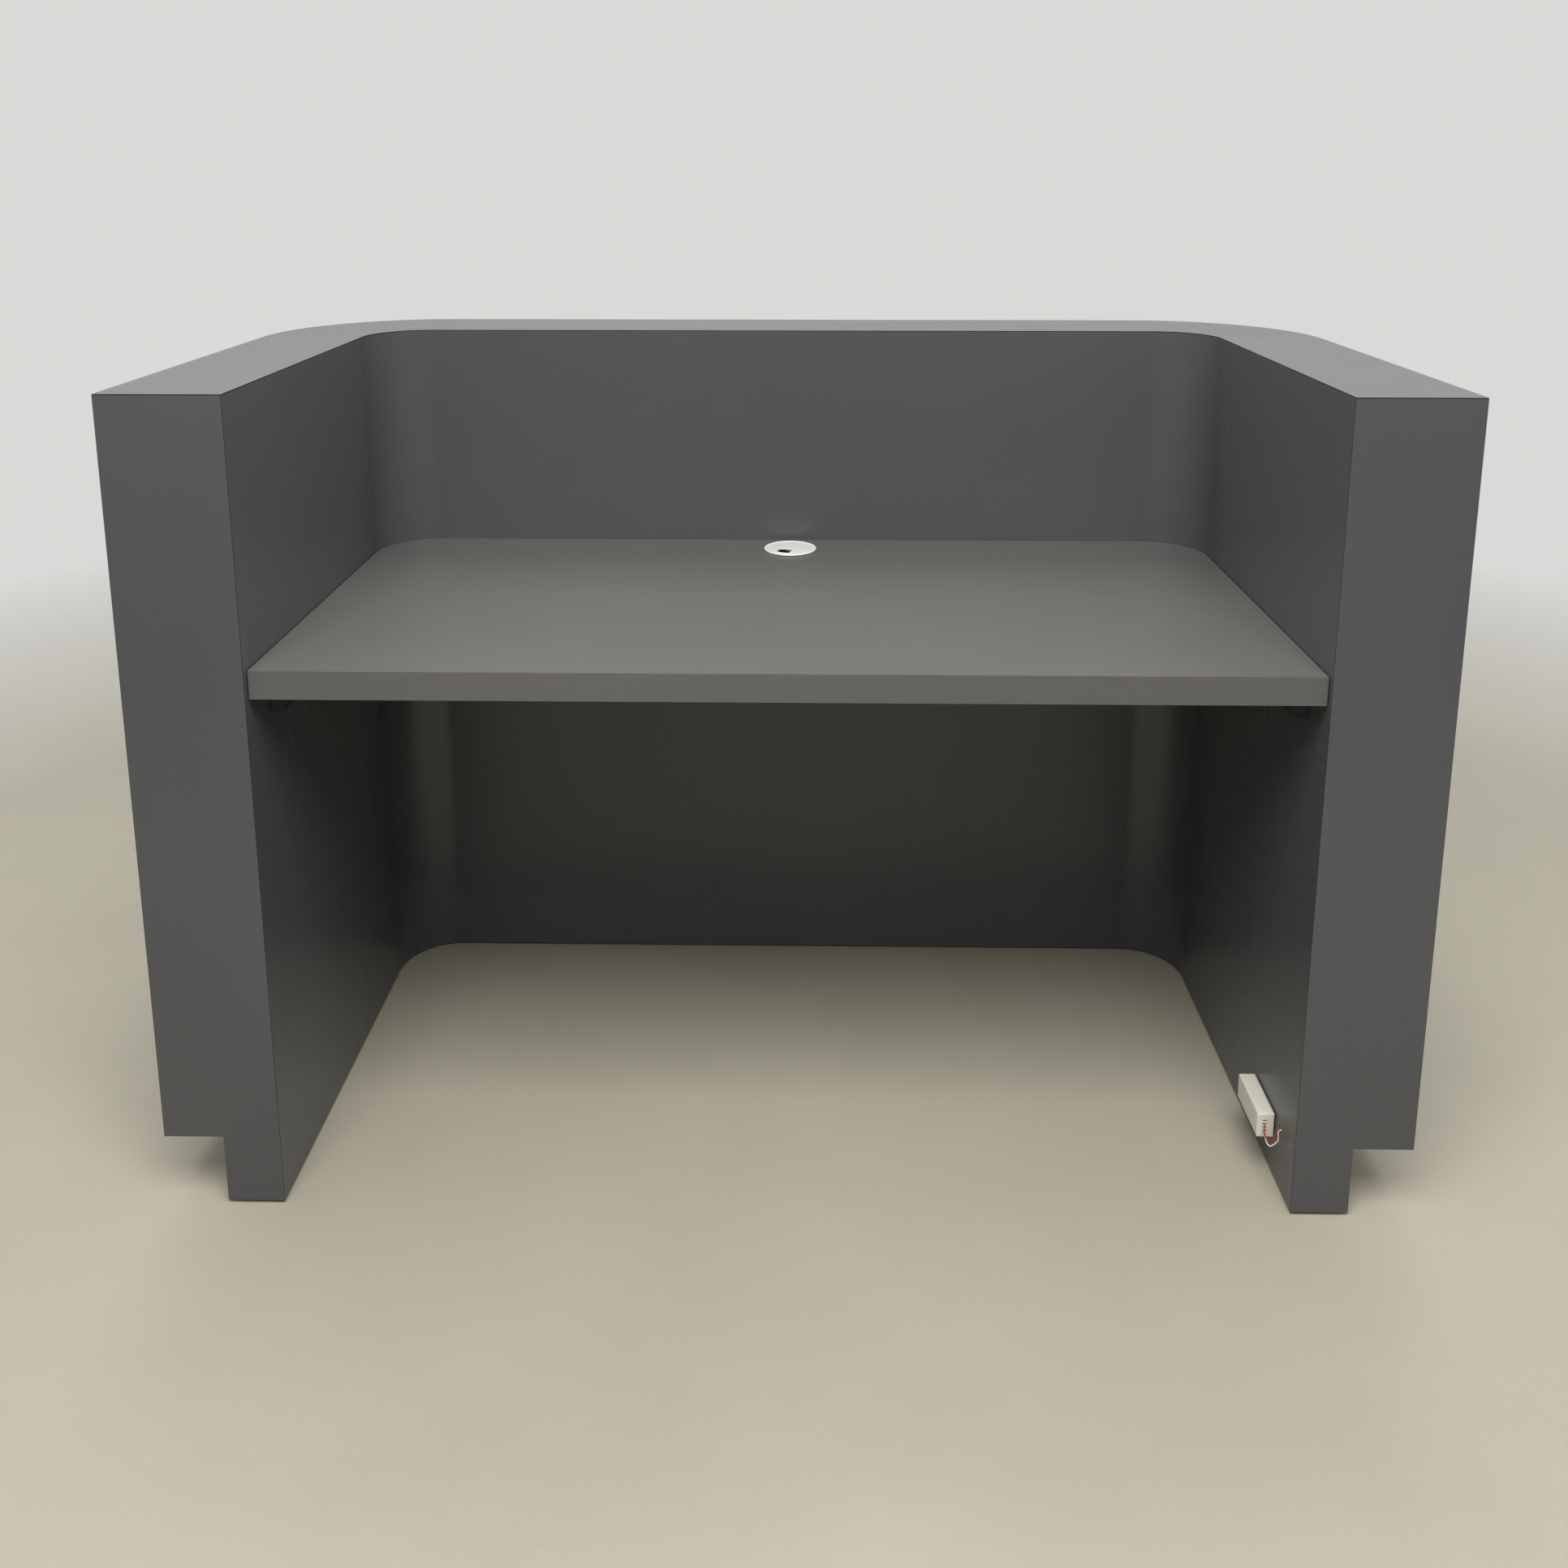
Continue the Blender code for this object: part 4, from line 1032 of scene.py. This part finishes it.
def driver_face(plastic):
    """The cover with its row of terminal slots and rounded front edges."""
    low, high = COVER_LOW, COVER_HIGH
    sections = rounded_end(low, high, low.y, 1, 0.0012)
    sections.append((rounded_rectangle(low, high, DRIVER_RADIUS, 0), high.y - 0.0003))
    sections.append((rounded_rectangle(low, high, DRIVER_RADIUS, 0.0003), high.y))
    cover = lofted("driver_face", sections)
    centre = (BLOCK_LOW.x + BLOCK_HIGH.x) / 2
    cutters = []
    for number in range(TERMINALS):
        level = TERMINAL_FIRST + TERMINAL_PITCH * number
        near = (centre - TERMINAL_HALF_WIDTH, low.y - 0.01, level - TERMINAL_HALF_HEIGHT)
        far = (centre + TERMINAL_HALF_WIDTH, high.y + 0.01, level + TERMINAL_HALF_HEIGHT)
        cutters.append(box_shape("slot", near, far))
    cut_away(cover, cutters)
    smooth(cover, 40)
    finish_piece(cover, "counter", "driver_plastic", plastic, "driver_cover")


STRIP_WIDTH = 0.010
SOFFIT = 0.018
LEAD_ABOVE_SOFFIT = 0.012
LEAD_ENTRY = 0.0155
LEAD_RADIUS = 0.0009
LEAD_SOFFIT_IN = 0.128
LEAD_Y = -0.3560
LEAD_SIDE_STEP = 0.0030
# For each lead: its side (0 inner, 1 outer), terminal level, bow, drop, lowest level and place in the hole.
LEAD_RUNS = {
    "red_lead": (0, 0.0201, -0.0025, 0.0050, 0.0615, 0.0022),
    "white_lead": (1, 0.0095, 0.0005, 0.0065, 0.0560, -0.0014),
}


def lead_route(side, start_z, bow, drop, low, in_hole):
    """A lead's way from its terminal, in a loop to the wall, over the underside board and to the strip."""
    wall = HALF_WIDTH - WALL
    hole_y, hole_z = WALL_HOLE
    rise_x = HALF_WIDTH - LEAD_SOFFIT_IN
    strip_x = STRIP_HIGH.x - STRIP_WIDTH / 2
    front = DRIVER_FRONT
    shared_x = wall - LEAD_ENTRY
    board_top = TOE_RISE + SOFFIT
    above = board_top + LEAD_ABOVE_SOFFIT
    level = DRIVER_LOW + start_z
    shift = LEAD_SIDE_STEP * side
    pass_z = hole_z + in_hole
    return [
        (shared_x, front + 0.0070, level),
        (shared_x, front + 0.0015, level),
        (shared_x, front - 0.0040, level),
        (shared_x + bow, front - 0.0085 - shift * 0.5, level - drop),
        (shared_x + 0.0010, front - 0.0115 - shift, low + 0.0050),
        (shared_x + 0.0045, front - 0.0155 - shift, low + 0.0040),
        (wall - 0.0056 + shift, front - 0.0190 - shift * 0.6, low + 0.0140),
        (wall - 0.0054 + shift * 0.9, hole_y, pass_z - 0.0040),
        (wall + 0.0010, hole_y, pass_z),
        (wall + 0.0110, hole_y, pass_z),
        (wall + 0.0210, hole_y - 0.0060, pass_z + 0.0040),
        (rise_x - 0.0015 + shift, LEAD_Y + 0.0015 - shift * 0.5, TOE_RISE + 0.0030),
        (rise_x - 0.0005 + shift, LEAD_Y - shift * 0.5, board_top),
        (rise_x + 0.0100 + shift * 0.3, LEAD_Y - shift * 0.6, above + 0.0060 - shift),
        ((rise_x + strip_x) / 2, LEAD_Y - shift * 0.8, above + 0.0040 - shift),
        (strip_x - 0.0100 - shift * 0.3, LEAD_Y - shift * 0.6, above + 0.0060 - shift),
        (strip_x + 0.0015 - shift, LEAD_Y - shift * 0.5, board_top),
        (strip_x + 0.0015 - shift, LEAD_Y - shift * 0.5, STRIP_HIGH.z + GAP + LEAD_RADIUS * 0.5),
    ]


def smooth_route(points, spacing):
    """Points along a Catmull-Rom curve through the route's own points, about one spacing apart."""
    ends = [points[0] + (points[0] - points[1]), *points, points[-1] + (points[-1] - points[-2])]
    fine = []
    for before, start, end, after in zip(ends, ends[1:], ends[2:], ends[3:]):
        pieces = max(1, round((end - start).length / spacing))
        for piece in range(pieces):
            t = piece / pieces
            straight = 2 * start + (end - before) * t
            curved = (2 * before - 5 * start + 4 * end - after) * t * t
            twisted = (3 * start - before - 3 * end + after) * t * t * t
            fine.append(0.5 * (straight + curved + twisted))
    fine.append(points[-1])
    return fine


def lead(name, route, slot, material, node):
    """A round insulated lead along its route."""
    curve = bpy.data.curves.new(name, "CURVE")
    curve.dimensions = "3D"
    curve.bevel_depth = LEAD_RADIUS
    curve.bevel_resolution = 6
    curve.use_fill_caps = True
    points = smooth_route([Vector(point) for point in route], 0.0012)
    spline = curve.splines.new("POLY")
    spline.points.add(len(points) - 1)
    for target, point in zip(spline.points, points):
        target.co = (*point, 1.0)
    spline.use_smooth = True
    finish_piece(new_object(name, curve), "counter", slot, material, node)


def driver():
    cream = plastic_material("driver_plastic", (0.86, 0.83, 0.73), 0.36, 0.05)
    black = plastic_material("terminal_plastic", (0.018, 0.018, 0.020), 0.45)
    driver_shell(cream)
    driver_face(cream)
    paint_node("driver_terminals", black, 0.0002)
    paint_node("driver_circuit_board", circuit_board_material(), 0.0001)
    paint_node("driver_tape", foam_material(), 0.0002)
    red = plastic_material("red_insulation", (0.42, 0.018, 0.020), 0.32)
    white = plastic_material("white_insulation", (0.78, 0.76, 0.70), 0.34)
    lead("red_wire", lead_route(*LEAD_RUNS["red_lead"]), "red_insulation", red, "red_lead")
    lead("white_wire", lead_route(*LEAD_RUNS["white_lead"]), "white_insulation", white, "white_lead")


def strip_light():
    """The channel, its frosted cover, the strip and the light chips along it."""
    aluminium = metal_material("channel_aluminium", (0.66, 0.66, 0.67), 0.34, "Y", 0.15)
    frosted = plastic_material("frosted_cover", (0.80, 0.80, 0.78), 0.55, 0.03)
    paint_node("light_channel", aluminium, 0.0002)
    paint_node("light_diffuser", frosted, 0.0002)
    paint_node("light_strip", plastic_material("strip_white", (0.74, 0.73, 0.68), 0.45), 0.0001)
    phosphor = plastic_material("chip_phosphor", (0.80, 0.62, 0.16), 0.28)
    finish_piece(light_chips(), "counter", "light_strip", phosphor)


def light_chips():
    """A row of small light chips on the underside of the strip, one pitch apart round the whole shell."""
    pitch = 1 / 60
    half = 0.0014
    depth = 0.0007
    inset = HALF_WIDTH - STRIP_HIGH.x + STRIP_WIDTH / 2
    line = [Vector((x, y, STRIP_LOW.z)) for x, y in shell_line(inset, STRIP_LOW.y)]
    shape = bmesh.new()
    due = pitch / 2
    for start, end in zip(line, line[1:]):
        step = end - start
        along = step.normalized()
        across = Vector((-along.y, along.x, 0))
        while due < step.length:
            centre = start + along * due - Vector((0, 0, depth / 2 + 0.0001))
            turn = Matrix((along, across, Vector((0, 0, 1)))).transposed().to_4x4()
            size = Matrix.Diagonal((2 * half, 2 * half, depth, 1))
            bmesh.ops.create_cube(shape, size=1.0, matrix=Matrix.Translation(centre) @ turn @ size)
            due += pitch
        due -= step.length
    return object_from("light_chips", shape)


# --------------------------------------------------------------------------------------------- feet

THREAD_PITCH = 0.00125
THREAD_DEPTH = 0.00055
THREAD_ROWS_A_TURN = 6
THREAD_COLUMNS = 24
STEM_RADIUS = 0.0040
SLIT_WIDTH = 0.0012
SLIT_DEPTH = 0.0015
SOLE = 0.0012


def threaded_stem(name, centre, low, high):
    """A rod with a screw line that starts softly at the bottom, and a tip that tapers to a slit."""
    rows = round((high - low) / THREAD_PITCH * THREAD_ROWS_A_TURN)
    run_out = 0.0012

    def build(shape):
        rings = []
        for row in range(rows + 1):
            height = low + (high - low) * row / rows
            fade = min(1.0, (height - low) / run_out)
            tip = max(0.0, 1.0 - (high - height) / run_out)
            ring = []
            for column in range(THREAD_COLUMNS):
                share = column / THREAD_COLUMNS
                phase = (height / THREAD_PITCH - share) % 1.0
                groove = 1 - abs(2 * phase - 1)
                reach = STEM_RADIUS - THREAD_DEPTH * groove * fade - 0.0006 * tip
                turn = 2 * math.pi * share
                x = centre[0] + reach * math.cos(turn)
                y = centre[1] + reach * math.sin(turn)
                ring.append(shape.verts.new((x, y, height)))
            rings.append(ring)
        closed_tube(shape, rings)

    stem = mesh_object(name, build)
    near = (centre[0] - 0.01, centre[1] - SLIT_WIDTH / 2, high - SLIT_DEPTH)
    far = (centre[0] + 0.01, centre[1] + SLIT_WIDTH / 2, high + 0.01)
    cut_away(stem, [box_shape("slit", near, far)])
    smooth(stem, 50)
    return stem


def sole_section(radius):
    """The thin sole: flat above and below, with a rounded edge."""
    edge = arc((radius - 0.0008, SOLE / 2), SOLE / 2, -60, 60, 6)
    return [(0, 0), (radius - 0.0012, 0), *edge, (radius - 0.0012, SOLE), (0, SOLE)]


def pad_section(radius, top):
    """The moulded pad: a small step over the sole, a round shoulder and a raised middle."""
    return [
        (0, SOLE),
        (radius - 0.0006, SOLE),
        (radius - 0.0002, SOLE + 0.0004),
        *arc((radius - 0.0016, top - 0.0018), 0.0014, 0, 70, 6),
        (0.0075, top),
        (0, top),
    ]


def feet():
    """Six levelling feet: a moulded pad with a thin sole, on a threaded stem with a driver slit."""
    pad_material = plastic_material("foot_plastic", (0.030, 0.030, 0.031), 0.48)
    sole_material = plastic_material("foot_sole", (0.052, 0.050, 0.048), 0.75, speckle=1300.0)
    stem_material = metal_material("stem_zinc", (0.52, 0.50, 0.44), 0.34, "Z", 0.1)
    insert_material = metal_material("insert_zinc", (0.56, 0.55, 0.50), 0.32, "Z", 0.1)
    for node in [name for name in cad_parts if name.startswith("foot_")]:
        low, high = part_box(node)
        centre = ((low.x + high.x) / 2, (low.y + high.y) / 2)
        radius = (high.x - low.x) / 2
        pad_top = FLOOR_GAP - GAP
        pad = turned(node + "_pad", pad_section(radius, pad_top), centre, 72)
        smooth(pad, 40)
        finish_piece(pad, node, "foot_plastic", pad_material, node)
        sole = turned(node + "_sole", sole_section(radius), centre, 72)
        smooth(sole, 40)
        finish_piece(sole, node, "foot_plastic", sole_material)
        stem = threaded_stem(node + "_stem", centre, pad_top, high.z)
        finish_piece(stem, node, "zinc", stem_material)
        paint_node(node.replace("foot_", "insert_"), insert_material, 0.0002)


def main():
    camera()
    floor()
    lights()
    dark = laminate_material("dark_laminate_face", (0.085, 0.087, 0.092), 0.28, 0.6)
    desk = laminate_material("worktop_laminate_face", (0.119, 0.119, 0.112), 0.34, 1.0)
    core = core_material("laminate_core", (0.009, 0.007, 0.006))
    warm_core = core_material("worktop_core", (0.110, 0.058, 0.046))
    shell_sheets(dark, core)
    end_sheets(dark, core)
    boards()
    worktop(desk, warm_core)
    cleats()
    grommet()
    driver()
    strip_light()
    feet()


main()
